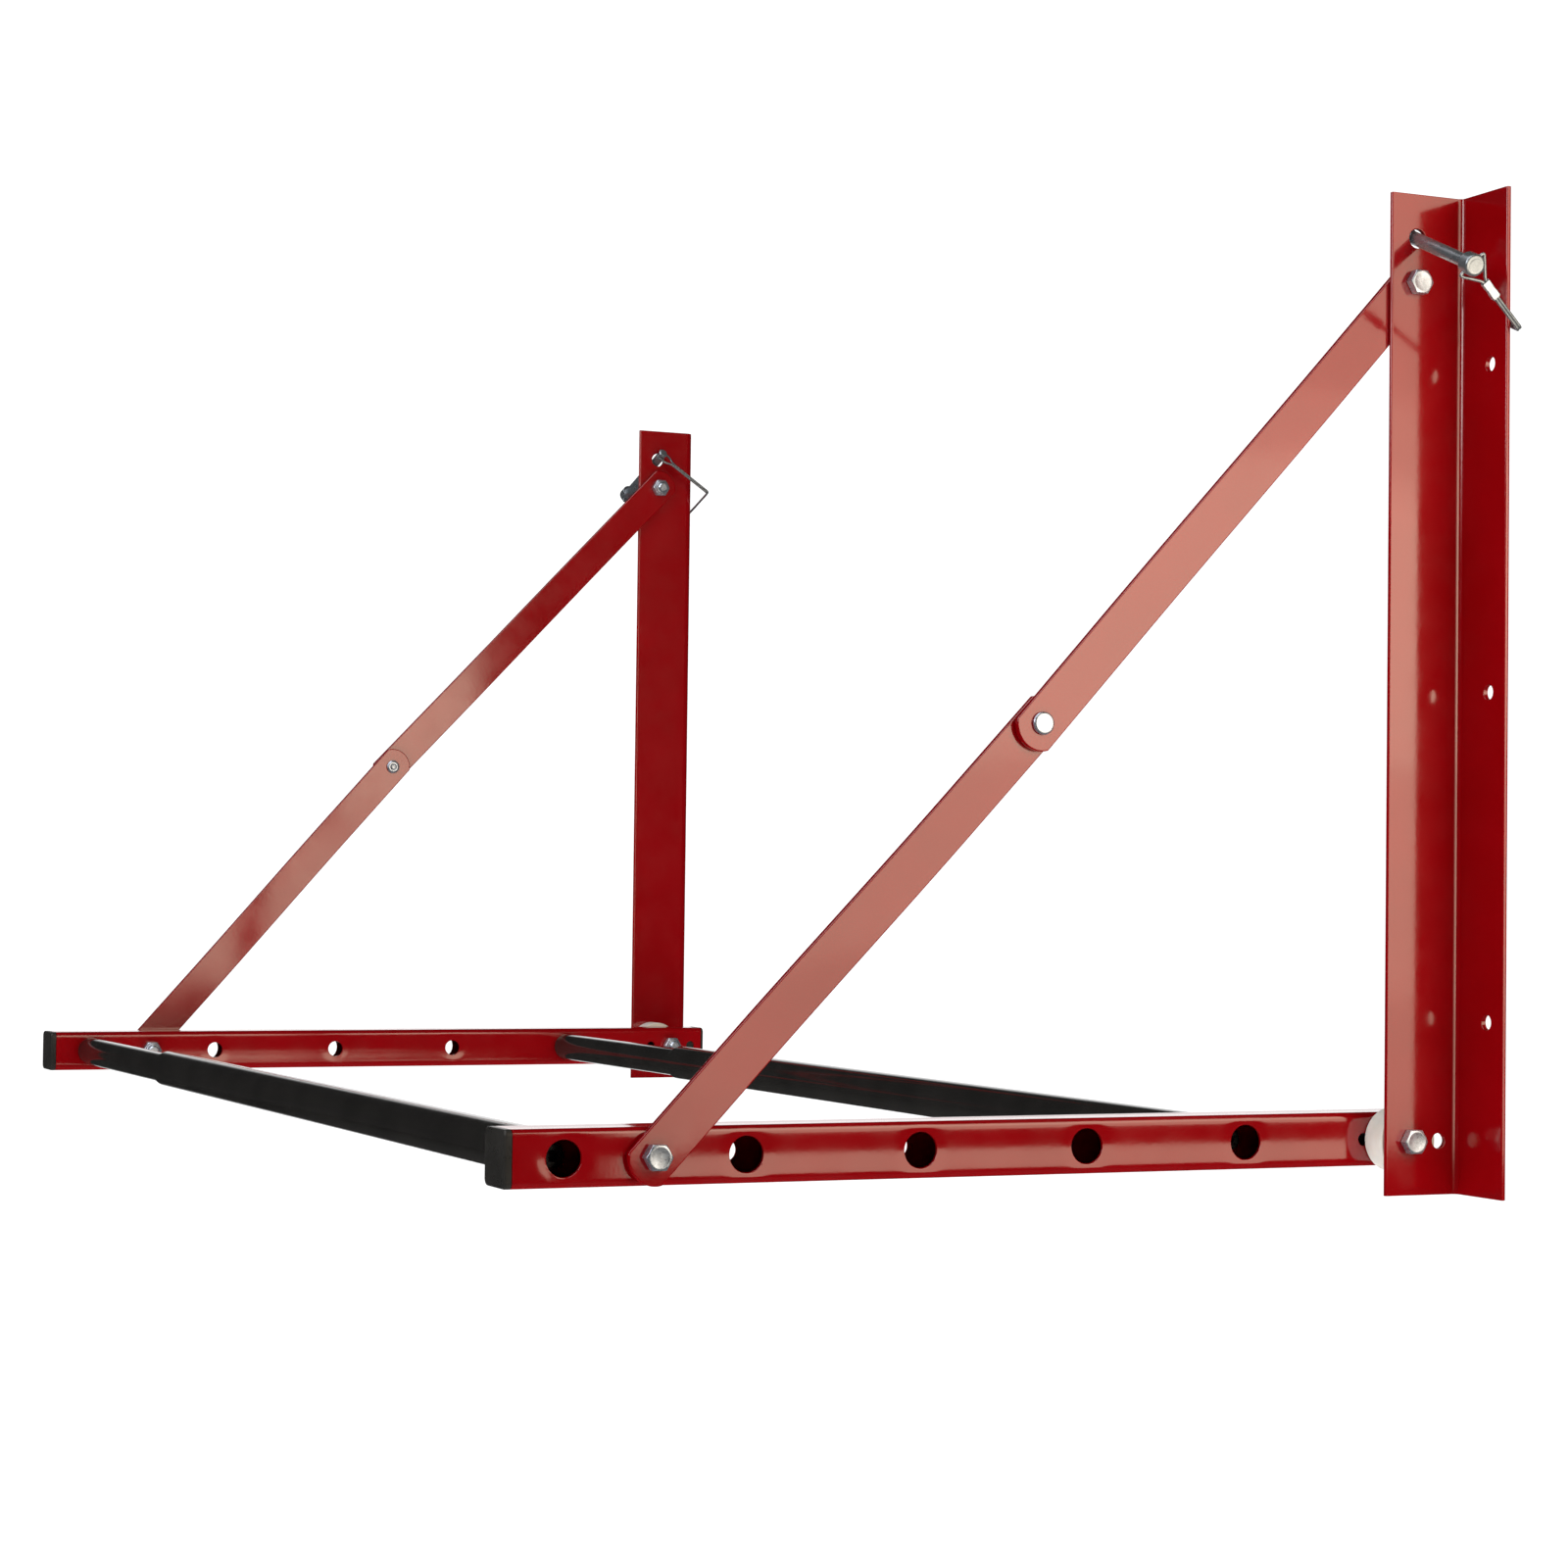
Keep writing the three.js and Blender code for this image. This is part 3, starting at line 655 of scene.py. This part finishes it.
def add_cap(side, end):
    """A moulded end cap: a cover with a rounded rim and a spigot inside the tube."""
    node = f"{side}_{end}_cap"
    low, high = cad_box(side, node)
    centre = (low + high) / 2
    outward = -1 if end == "front" else 1
    face = low.y if end == "front" else high.y
    seat = face - outward * CAP[end]
    bm = bmesh.new()
    loops = []
    for y, inset in cap_profile(seat, face, outward):
        corner = max(TUBE["corner"] - inset * CAP_CORNER["shrink"], CAP_CORNER["least"])
        outline = rounded_square(CAP["side"] - 2 * inset, corner, TUBE["corner_steps"])
        loops.append(section(bm, outline, centre, y))
    for a, b in zip(loops, loops[1:]):
        skin(bm, a, b)
    bm.faces.new(loops[-1])
    spigot_side = CAP["side"] - 2 * TUBE["wall"] - 2 * GAP
    spigot = rounded_square(spigot_side, CAP_CORNER["spigot"], TUBE["corner_steps"])
    start = section(bm, spigot, centre, seat)
    stop = section(bm, spigot, centre, seat - outward * CAP["spigot"])
    skin(bm, loops[0], start)
    skin(bm, start, stop)
    bm.faces.new(stop)
    made = make_object(bm, node + "_finished")
    return install(made, side, node, PLASTIC, sharp=50)


def add_turned_ring(side, node, material, segments=64):
    """A plain ring with soft edges, in the place of its CAD node."""
    low, high = cad_box(side, node)
    centre = (low + high) / 2
    radius = (high.z - low.z) / 2
    bore = SIDE_HOLE["pivot"] / 2
    profile = [
        (low.x, bore), (low.x, radius), (high.x, radius), (high.x, bore), (low.x, bore)
    ]
    kind = next(kind for kind in RING_FILLET if node.endswith(kind))
    place = (centre.y, centre.z)
    made = lathe(node + "_finished", profile, place, RING_FILLET[kind], segments)
    return install(made, side, node, material)


# ---------------------------------------------------------------- braces
def bar_outline(length):
    """Outline of a flat bar with round ends, as (across, down)."""
    radius = BAR["end_radius"]
    half = math.degrees(math.asin(BAR["width"] / 2 / radius))
    return arc((0, 0), radius, 90 - half, 90 + half, 16) + arc(
        (0, -length), radius, 270 - half, 270 + half, 16
    )


def add_bar(side, which, outer_hinge, elbow, outer_face, elbow_face):
    """A flat bar that is set over between its outer hinge and the elbow."""
    node = f"{side}_{which}_bar"
    run = elbow - outer_hinge
    length = math.hypot(run.y, run.z)
    thick = BAR["thick"]
    made = slab(
        node + "_finished", bar_outline(length), -thick, 0, lambda u, v, h: (h, u, v)
    )
    drill(made, [
        rod_cutter(SIDE_HOLE["pivot"], "X", (0, z), -thick - OVERCUT, OVERCUT)
        for z in (0, -length)
    ])
    round_edges(made, BAR["edge"], angle=50)
    bm = bmesh.new()
    bm.from_mesh(made.data)
    start, share, margin = SET_OVER["start"], SET_OVER["share"], SET_OVER["margin"]
    for i in range(1, SET_OVER["cuts"]):
        z = -length * (start - margin + (share + 2 * margin) * i / SET_OVER["cuts"])
        geometry = bm.verts[:] + bm.edges[:] + bm.faces[:]
        bmesh.ops.bisect_plane(bm, geom=geometry, plane_co=(0, 0, z), plane_no=(0, 0, 1))
    for vertex in bm.verts:
        t = min(max((-vertex.co.z / length - start) / share, 0), 1)
        vertex.co.x += outer_face + (elbow_face - outer_face) * t * t * (3 - 2 * t)
    bm.to_mesh(made.data)
    bm.free()
    turn = math.atan2(run.y, -run.z)
    rotation = Matrix.Rotation(turn, 4, "X")
    made.data.transform(Matrix.Translation((0, outer_hinge.y, outer_hinge.z)) @ rotation)
    return install(made, side, node, RED, sharp=50)


def add_braces(side):
    """Both bars of a brace and the two halves of the rivet at its elbow."""
    rivet_low, rivet_high = cad_box(side, f"{side}_elbow_rivet")
    collar_low, collar_high = cad_box(side, f"{side}_elbow_collar")
    elbow = (rivet_low + rivet_high) / 2
    rivet_face = rivet_high.x - RIVET["head"] - GAP
    upper_hinge = joint_point(side, "upper_bar_swing")
    upper_face = cad_box(side, f"{side}_upper_bar")[1].x
    add_bar(side, "upper", upper_hinge, elbow, upper_face, rivet_face)
    lower_hinge = joint_point(side, "lower_bar_swing")
    lower_face = cad_box(side, f"{side}_lower_bar")[0].x + BAR["thick"]
    add_bar(side, "lower", lower_hinge, elbow, lower_face, collar_high.x)
    add_rivet(side, rivet_low, rivet_high, elbow)
    add_collar(side, collar_low, collar_high, elbow)


def add_rivet(side, low, high, elbow):
    """The headed half of the elbow rivet, which the upper bar carries."""
    node = f"{side}_elbow_rivet"
    radius = (high.z - low.z) / 2
    under = high.x - RIVET["head"]
    profile = [
        (low.x, 0),
        (low.x, RIVET["shank"] / 2),
        (under, RIVET["shank"] / 2),
        (under, radius),
        (under + 0.55 * RIVET["head"], radius),
        (high.x - 0.1, radius - 1.0),
        (high.x, radius - 2.0),
        (high.x, 0),
    ]
    made = lathe(node + "_finished", profile, (elbow.y, elbow.z), fillet=0.5)
    return install(made, side, node, ZINC)


def add_collar(side, low, high, elbow):
    """The hammered tail of the elbow rivet, which the lower bar carries."""
    node = f"{side}_elbow_collar"
    radius = (high.z - low.z) / 2
    under = low.x + RIVET["tail"]
    profile = [
        (low.x + 0.5, 0),
        (low.x + 0.35, radius * 0.35),
        (low.x, radius * 0.5),
        (low.x, radius - 1.4),
        (low.x + 0.7, radius - 0.2),
        (under - 0.5, radius),
        (under, radius - 0.3),
        (under, RIVET["shank"] / 2),
        (high.x, RIVET["shank"] / 2),
        (high.x, 0),
    ]
    made = lathe(node + "_finished", profile, (elbow.y, elbow.z), fillet=0.35)
    return install(made, side, node, ZINC)


# ---------------------------------------------------------------- hexagon fasteners
def hex_radius(angle, flats):
    """Distance from a hexagon's middle to its edge at an angle."""
    sixth = math.pi / 3
    return flats / 2 / math.cos(angle % sixth - sixth / 2)


def hex_ring(bm, centre, flats, place, points=96):
    """One ring round a hexagon. place turns the hexagon's radius into (x, radius)."""
    ring = []
    for i in range(points):
        angle = 2 * math.pi * i / points
        x, radius = place(hex_radius(angle, flats))
        y = centre.y + radius * math.cos(angle)
        z = centre.z + radius * math.sin(angle)
        ring.append(bm.verts.new((x, y, z)))
    return ring


def chamfer_drop(radius, flats):
    """How far a turned chamfer lies below the end face at a radius."""
    return max(0, radius - HEX["face"] * flats / 2) * math.tan(CHAMFER)


def hex_body(bm, centre, start, end, flats, double):
    """A hexagonal prism along X whose end, and start where double is set, are chamfered."""
    way = 1 if end > start else -1
    face = HEX["face"] * flats / 2
    under, rise, rim, drop = (HEX_EASE[key] for key in ("under", "rise", "rim", "drop"))
    if double:
        places = [
            lambda r: (start, face),
            lambda r: (start + way * chamfer_drop(r, flats), r),
        ]
    else:
        places = [
            lambda r: (start, r - under),
            lambda r: (start + way * rise, r),
        ]
    places += [
        lambda r: (end - way * (chamfer_drop(r, flats) + drop), r),
        lambda r: (end - way * chamfer_drop(r - rim, flats), r - rim),
        lambda r: (end, face),
    ]
    rings = [hex_ring(bm, centre, flats, place) for place in places]
    for a, b in zip(rings, rings[1:]):
        skin(bm, a, b)
    return rings[0], rings[-1]


def round_rings(bm, centre, profile, points=96):
    """Round rings for (x, radius) pairs, skinned in order and lined up with hexagon rings."""
    rings = []
    for x, radius in profile:
        rings.append(hex_ring(bm, centre, 1, lambda r: (x, radius), points))
    for a, b in zip(rings, rings[1:]):
        skin(bm, a, b)
    return rings[0], rings[-1]


def thread_profile(tip, radius):
    """Grooves of a thread that ends at its chamfered tip, as (x, radius)."""
    root = radius - THREAD["depth"]
    made = []
    x = tip + THREAD["length"]
    while x > tip + THREAD["lead"]:
        made += [(x, radius), (x - THREAD["flank"], root), (x - THREAD["groove"], root)]
        x -= THREAD["pitch"]
    return made + [(tip + THREAD["chamfer"], radius), (tip, radius - THREAD["chamfer"])]


def add_bolt(side, name):
    """A hexagon bolt with its head outwards and a short thread at its tip."""
    node = f"{side}_{name}"
    low, high = cad_box(side, node)
    centre = (low + high) / 2
    bearing = high.x - HEX["head"]
    radius = HEX["shank"] / 2
    bm = bmesh.new()
    under, top = hex_body(bm, centre, bearing, high.x, HEX["flats"], double=False)
    rim = HEX["dished"] * HEX["flats"] / 2
    dish_profile = [
        (high.x, rim),
        (high.x - HEAD_DISH["slope_depth"], rim - HEAD_DISH["slope"]),
        (high.x - HEAD_DISH["depth"], 1),
    ]
    dish_start, dish_end = round_rings(bm, centre, dish_profile)
    skin(bm, top, dish_start)
    bm.faces.new(dish_end)
    profile = [(bearing, radius)] + thread_profile(low.x, radius)
    shank_start, shank_end = round_rings(bm, centre, profile)
    skin(bm, under, shank_start)
    bm.faces.new(shank_end)
    made = make_object(bm, node + "_finished")
    return install(made, side, node, ZINC, sharp=30, weighted=False)


def add_nut(side, name):
    """A lock nut: a hexagon, a rolled collar and the locking ring inside it."""
    node = f"{side}_{name}"
    low, high = cad_box(side, node)
    centre = (low + high) / 2
    shoulder = high.x - HEX["nut"]
    bore = HEX["shank"] / 2 + GAP
    collar = HEX["flats"] / 2 - 0.6
    mouth = low.x + 1.2
    bm = bmesh.new()
    bearing, front = hex_body(bm, centre, high.x, shoulder, HEX["flats"], double=True)
    rolled = [
        (shoulder, collar),
        (mouth, collar),
        (low.x + 0.5, collar - 0.25),
        (low.x + 0.1, collar - 0.8),
        (low.x, collar - 1.4),
        (low.x + 0.35, collar - 1.6),
        (low.x + 0.6, bore + 0.15),
        (mouth, bore),
        (high.x, bore),
    ]
    start, end = round_rings(bm, centre, rolled)
    skin(bm, front, start)
    skin(bm, end, bearing)
    made = make_object(bm, node + "_finished")
    made = install(made, side, node, ZINC, sharp=30, weighted=False)
    show_locking_ring(made, side, centre, mouth + 0.1, collar - 1.55)
    return made


def show_locking_ring(made, side, centre, behind, within):
    """Gives the faces of a nut's mouth the locking ring's nylon."""
    made.data.materials.append(NYLON)
    for face in made.data.polygons:
        middle = face.center / MM
        x = SIDES[side] * middle.x
        distance = math.hypot(middle.y - centre.y, middle.z - centre.z)
        if x < behind and distance < within:
            face.material_index = 1


# ---------------------------------------------------------------- lock pins
PIN_AXIS = Vector((
    math.cos(LOCK_DROOP) * math.cos(LOCK_FORWARD),
    -math.cos(LOCK_DROOP) * math.sin(LOCK_FORWARD),
    -math.sin(LOCK_DROOP),
))
LEG_AXIS = Vector((0, math.cos(LEG_DROOP), -math.sin(LEG_DROOP)))
LEG_AXIS = (LEG_AXIS - PIN_AXIS * LEG_AXIS.dot(PIN_AXIS)).normalized()
CROSS_AXIS = PIN_AXIS.cross(LEG_AXIS)
HEAD_X = LOCK["length"] - LOCK["inside"] - LOCK["head_length"] / 2
LOCK_PLACE = joint_point("right", "bow_swing") - PIN_AXIS * HEAD_X


def on_pin(made):
    """Moves a piece drawn along the pin into its place in the flange."""
    turn = Matrix((PIN_AXIS, LEG_AXIS, CROSS_AXIS)).transposed().to_4x4()
    made.data.transform(Matrix.Translation(LOCK_PLACE) @ turn)
    return made


def add_lock_pin(side):
    """A round pin with a necked tip and a drilled head."""
    node = f"{side}_lock_pin"
    shank, head = LOCK["shank"] / 2, LOCK["head"] / 2
    tip = -LOCK["inside"]
    neck = tip + NECK["from_tip"]
    end = LOCK["length"] - LOCK["inside"]
    head_start = end - LOCK["head_length"]
    profile = [
        (tip, 0),
        (tip, shank - 1),
        (tip + 1, shank),
        (neck, shank),
        (neck + 0.3, NECK["diameter"] / 2),
        (neck + NECK["width"] - 0.3, NECK["diameter"] / 2),
        (neck + NECK["width"], shank),
        (head_start - 1.2, shank),
        (head_start, shank + 0.5),
        (head_start, head - 0.5),
        (head_start + 0.8, head),
        (end - 1.4, head),
        (end - 0.4, head - 0.7),
        (end, head - 1.8),
        (end - 0.12, head - 2.6),
        (end - 0.12, 0),
    ]
    made = lathe(node + "_finished", profile, fillet=0.35, segments=72)
    hole = rod_cutter(WIRE["hole"], "X", (0, 0), -LOCK["head"], LOCK["head"])
    hole.data.transform(Matrix.Translation((HEAD_X, 0, 0)) @ Matrix.Rotation(math.pi / 2, 4, "Y"))
    drill(made, [hole])
    return install(on_pin(made), side, node, STEEL)


def eased_path(points, bend, steps=8):
    """A path of straight runs whose corners are rounded."""
    made = [points[0]]
    for before, here, after in zip(points, points[1:], points[2:]):
        start = here + (before - here).normalized() * bend
        end = here + (after - here).normalized() * bend
        for step in range(steps + 1):
            t = step / steps
            made.append(start.lerp(here, t).lerp(here.lerp(end, t), t))
    made.append(points[-1])
    return made


def wire(name, route, diameter):
    """A round wire along a path, with closed ends."""
    curve = bpy.data.curves.new(name, "CURVE")
    curve.dimensions = "3D"
    curve.bevel_depth = diameter / 2
    curve.bevel_resolution = 5
    curve.use_fill_caps = True
    spline = curve.splines.new("POLY")
    spline.points.add(len(route) - 1)
    for point, place in zip(spline.points, route):
        point.co = (*place, 1)
    drawn = bpy.data.objects.new(name, curve)
    bpy.context.scene.collection.objects.link(drawn)
    graph = bpy.context.evaluated_depsgraph_get()
    mesh = bpy.data.meshes.new_from_object(drawn.evaluated_get(graph))
    bpy.data.objects.remove(drawn)
    made = bpy.data.objects.new(name, mesh)
    bpy.context.scene.collection.objects.link(made)
    return made


def bow_route(hand):
    """Half of the bow, from the head's cross hole round the flange's edge to the pin's neck."""
    neck = NECK["from_tip"] - LOCK["inside"] + NECK["width"] / 2
    beside = WIRE["pitch"] / 2 * hand
    prong = (NECK["diameter"] / 2 + GAP + WIRE["diameter"] / 2) * hand
    corners = [
        (HEAD_X, 0, 1 * hand),
        (HEAD_X, 0, WIRE["spread"] * hand),
        (HEAD_X, WIRE["meet"], beside),
        (HEAD_X, WIRE["leg"], beside),
        (neck, WIRE["leg"], beside),
        (neck, 12, beside),
        (neck, 6, prong),
        (neck, -4, prong),
    ]
    return eased_path([Vector(corner) for corner in corners], WIRE_BEND)


def add_bow(side):
    """The wire bow that closes over the pin's tip."""
    node = f"{side}_pin_bow"
    halves = [wire(node + f"_half_{hand}", bow_route(hand), WIRE["diameter"]) for hand in (1, -1)]
    bm = bmesh.new()
    for half in halves:
        bm.from_mesh(half.data)
        bpy.data.objects.remove(half)
    made = make_object(bm, node + "_finished")
    return install(on_pin(made), side, node, STEEL, sharp=60, weighted=False)


def add_sleeve(side):
    """The crimped sleeve that holds the bow's two wires together."""
    node = f"{side}_bow_sleeve"
    width, thick = SLEEVE["width"], SLEEVE["thick"]
    bm = bmesh.new()
    rings = []
    outline = rounded_square(2, 2 * SLEEVE["corner"] / thick, 5)
    for share, size in CRIMP:
        y = SLEEVE["start"] + SLEEVE["length"] * share
        ring = []
        for u, v in outline:
            place = (HEAD_X + u * thick / 2 * size, y, v * width / 2 * size)
            ring.append(bm.verts.new(place))
        rings.append(ring)
    for a, b in zip(rings, rings[1:]):
        skin(bm, a, b)
    bm.faces.new(rings[0])
    bm.faces.new(rings[-1])
    made = make_object(bm, node + "_finished")
    return install(on_pin(made), side, node, ZINC, sharp=40)


# ---------------------------------------------------------------- crossbars
def add_cross_tube(side, row):
    """A round tube. The left one is thinner and slides inside the right one."""
    kind = TUBE_KIND[side]
    node = f"{row}_crossbar_{kind}_tube"
    low, high = cad_box(side, node)
    centre = (low + high) / 2
    diameter, wall = CROSS_TUBE[kind]
    radius = diameter / 2
    profile = [
        (high.x, radius - wall),
        (high.x, radius),
        (low.x, radius),
        (low.x, radius - wall),
        (high.x, radius - wall),
    ]
    made = lathe(
        node + "_finished", profile, (centre.y, centre.z), fillet=0.7, segments=96
    )
    return install(made, side, node, BLACK, sharp=60)


def add_cap_screw(side, row):
    """A socket-head screw, seen through the arm's access hole."""
    node = f"{row}_{side}_cap_screw"
    low, high = cad_box(side, node)
    centre = (low + high) / 2
    radius = (high.z - low.z) / 2
    under = high.x - CAP_SCREW["head"]
    shank = CAP_SCREW["shank"] / 2
    profile = [
        (low.x, 0),
        (low.x, shank - 1),
        (low.x + 1, shank),
        (under, shank),
        (under, radius),
        (high.x, radius),
        (high.x, 0),
    ]
    made = lathe(node + "_finished", profile, (centre.y, centre.z), fillet=0.6)
    hexagon = arc((centre.y, centre.z), CAP_SCREW["key"] / math.sqrt(3), 0, 300, 5)
    bottom = high.x - CAP_SCREW["key_depth"]
    key = slab("cutter", hexagon, bottom, high.x + OVERCUT, lambda u, v, h: (h, u, v))
    drill(made, [key])
    return install(made, side, node, OXIDE)


# ---------------------------------------------------------------- lights, floor and camera
TARGET = Vector((0.05, -0.25, 0.2))
BACKDROP = {"way": (-0.911, 0.412, 0.03), "edge": (0.93, 0.975), "glow": (0.02, 1.6), "seen": 1.15}
FLOOR = {"half": 3, "height": -0.75, "glow": 0.95, "mirrored": 0.05}
CAMERA = {"yaw": 24.34, "pitch": 1.70, "roll": 0.71, "lens": 76.69}
CAMERA_PLACE = (2.1178, -1.1213, 0.1393)
WARM = (1, 0.84, 0.64)
PANEL = {"y": 0.05, "width": 0.7}
SIDE_PANELS = ((1.05, -0.046, 0.75, 2.2), (1.06, 0.06, 0.5, 0.55), (1.07, 0.23, 0.44, 0.85))


def area_light(name, place, target, size, radiance, color=(1, 1, 1), diffuse=True, glossy=True):
    """A soft box of a size in metres whose surface has the given brightness.

    diffuse and glossy say whether matt surfaces are lit by it and shiny ones mirror it.
    """
    light = bpy.data.lights.new(name, "AREA")
    light.shape = "RECTANGLE"
    light.size, light.size_y = size
    light.energy = radiance * math.pi * size[0] * size[1]
    light.color = color
    lamp = bpy.data.objects.new(name, light)
    lamp.location = place
    lamp.rotation_euler = (Vector(target) - Vector(place)).to_track_quat("-Z", "Y").to_euler()
    lamp.visible_camera = False
    lamp.visible_diffuse = diffuse
    lamp.visible_glossy = glossy
    bpy.context.scene.collection.objects.link(lamp)
    return lamp


def light_studio():
    """Warm panels that the red faces mirror, and soft fills that only light matt surfaces."""
    y, width = PANEL["y"], PANEL["width"]
    for x, low, high, radiance in SIDE_PANELS:
        middle = (low + high) / 2
        size = (width, high - low)
        area_light("side_panel", (x, y, middle), (0, y, middle), size, radiance, WARM, diffuse=False)
    area_light("side_fill", (1.08, y, 0.5), (0, y, 0.5), (width, 0.8), 1.2, WARM, glossy=False)
    near = (0.56, 0.05, 0.3)
    area_light("rear_fill", (1.8, 0.5, 0.75), near, (1.0, 1.2), 4.0, WARM, glossy=False)
    area_light("left_fill", (-2.0, -0.8, 0.9), TARGET, (1.4, 1.4), 2.5, glossy=False)
    area_light("overhead", (0.3, -1.2, 2.2), TARGET, (2.4, 1.6), 2.2)
    area_light("front_fill", (0.9, -2.6, 1.3), TARGET, (1.2, 1.2), 4.8)


def make_world():
    """A white studio: a bright backdrop behind the object, and a dim room in front of it."""
    world = bpy.data.worlds.new("studio")
    bpy.context.scene.world = world
    world.use_nodes = True
    tree = world.node_tree
    tree.nodes.clear()
    coordinates = tree.nodes.new("ShaderNodeTexCoord")
    dot = tree.nodes.new("ShaderNodeVectorMath")
    dot.operation = "DOT_PRODUCT"
    dot.inputs[1].default_value = BACKDROP["way"]
    spread = tree.nodes.new("ShaderNodeMapRange")
    spread.interpolation_type = "SMOOTHSTEP"
    spread.inputs["From Min"].default_value, spread.inputs["From Max"].default_value = BACKDROP["edge"]
    spread.inputs["To Min"].default_value, spread.inputs["To Max"].default_value = BACKDROP["glow"]
    room = tree.nodes.new("ShaderNodeBackground")
    seen = tree.nodes.new("ShaderNodeBackground")
    seen.inputs["Strength"].default_value = BACKDROP["seen"]
    seen.inputs["Color"].default_value = (1, 1, 1, 1)
    path = tree.nodes.new("ShaderNodeLightPath")
    mix = tree.nodes.new("ShaderNodeMixShader")
    output = tree.nodes.new("ShaderNodeOutputWorld")
    tree.links.new(coordinates.outputs["Generated"], dot.inputs[0])
    tree.links.new(dot.outputs["Value"], spread.inputs["Value"])
    tree.links.new(spread.outputs["Result"], room.inputs["Strength"])
    tree.links.new(path.outputs["Is Camera Ray"], mix.inputs["Fac"])
    tree.links.new(room.outputs["Background"], mix.inputs[1])
    tree.links.new(seen.outputs["Background"], mix.inputs[2])
    tree.links.new(mix.outputs["Shader"], output.inputs["Surface"])


def make_floor():
    """A plain pale floor below the rack, which glossy surfaces mirror as dark."""
    bm = bmesh.new()
    half = FLOOR["half"]
    corners = ((-half, -half), (half, -half), (half, half), (-half, half))
    bm.faces.new([bm.verts.new((x, y, FLOOR["height"])) for x, y in corners])
    floor = make_object(bm, "floor")
    made, tree, shader = new_material("pale_floor")
    shader.inputs["Base Color"].default_value = (0.9, 0.9, 0.9, 1)
    shader.inputs["Roughness"].default_value = 0.9
    shader.inputs["Emission Color"].default_value = (1, 1, 1, 1)
    shader.inputs["Emission Strength"].default_value = FLOOR["glow"]
    mirrored = tree.nodes.new("ShaderNodeBsdfDiffuse")
    mirrored.inputs["Color"].default_value = (*[FLOOR["mirrored"]] * 3, 1)
    path = tree.nodes.new("ShaderNodeLightPath")
    mix = tree.nodes.new("ShaderNodeMixShader")
    tree.links.new(path.outputs["Is Glossy Ray"], mix.inputs["Fac"])
    tree.links.new(shader.outputs["BSDF"], mix.inputs[1])
    tree.links.new(mirrored.outputs["BSDF"], mix.inputs[2])
    tree.links.new(mix.outputs["Shader"], tree.nodes["Material Output"].inputs["Surface"])
    floor.data.materials.append(made)


def make_camera():
    """The camera stands to the right in front of the rack, a little above the arms."""
    yaw, pitch, roll = [math.radians(CAMERA[turn]) for turn in ("yaw", "pitch", "roll")]
    forward = Vector((
        -math.cos(yaw) * math.cos(pitch), math.sin(yaw) * math.cos(pitch), math.sin(pitch)
    ))
    level = forward.cross(Vector((0, 0, 1))).normalized()
    above = level.cross(forward)
    right = level * math.cos(roll) + above * math.sin(roll)
    up = above * math.cos(roll) - level * math.sin(roll)
    data = bpy.data.cameras.new("camera")
    data.sensor_width = 36
    data.lens = CAMERA["lens"]
    camera = bpy.data.objects.new("camera", data)
    camera.matrix_world = Matrix((
        (right.x, up.x, -forward.x, CAMERA_PLACE[0]),
        (right.y, up.y, -forward.y, CAMERA_PLACE[1]),
        (right.z, up.z, -forward.z, CAMERA_PLACE[2]),
        (0, 0, 0, 1),
    ))
    bpy.context.scene.collection.objects.link(camera)
    bpy.context.scene.camera = camera


# ---------------------------------------------------------------- assembly
for rack_side in SIDES:
    add_upright(rack_side)
    add_arm(rack_side)
    add_cap(rack_side, "front")
    add_cap(rack_side, "rear")
    add_turned_ring(rack_side, f"{rack_side}_pivot_spacer", NYLON, segments=96)
    add_braces(rack_side)
    for place in ("pivot", "upper_brace", "lower_brace"):
        add_bolt(rack_side, place + "_bolt")
        add_nut(rack_side, place + "_nut")
    add_lock_pin(rack_side)
    add_bow(rack_side)
    add_sleeve(rack_side)
    for bar_row in ("front", "rear"):
        add_cross_tube(rack_side, bar_row)
        add_turned_ring(rack_side, f"{bar_row}_{rack_side}_end_plug", STEEL)
        add_turned_ring(rack_side, f"{bar_row}_{rack_side}_screw_washer", ZINC)
        add_cap_screw(rack_side, bar_row)

make_world()
make_floor()
light_studio()
make_camera()
bpy.context.scene.view_settings.view_transform = "Standard"
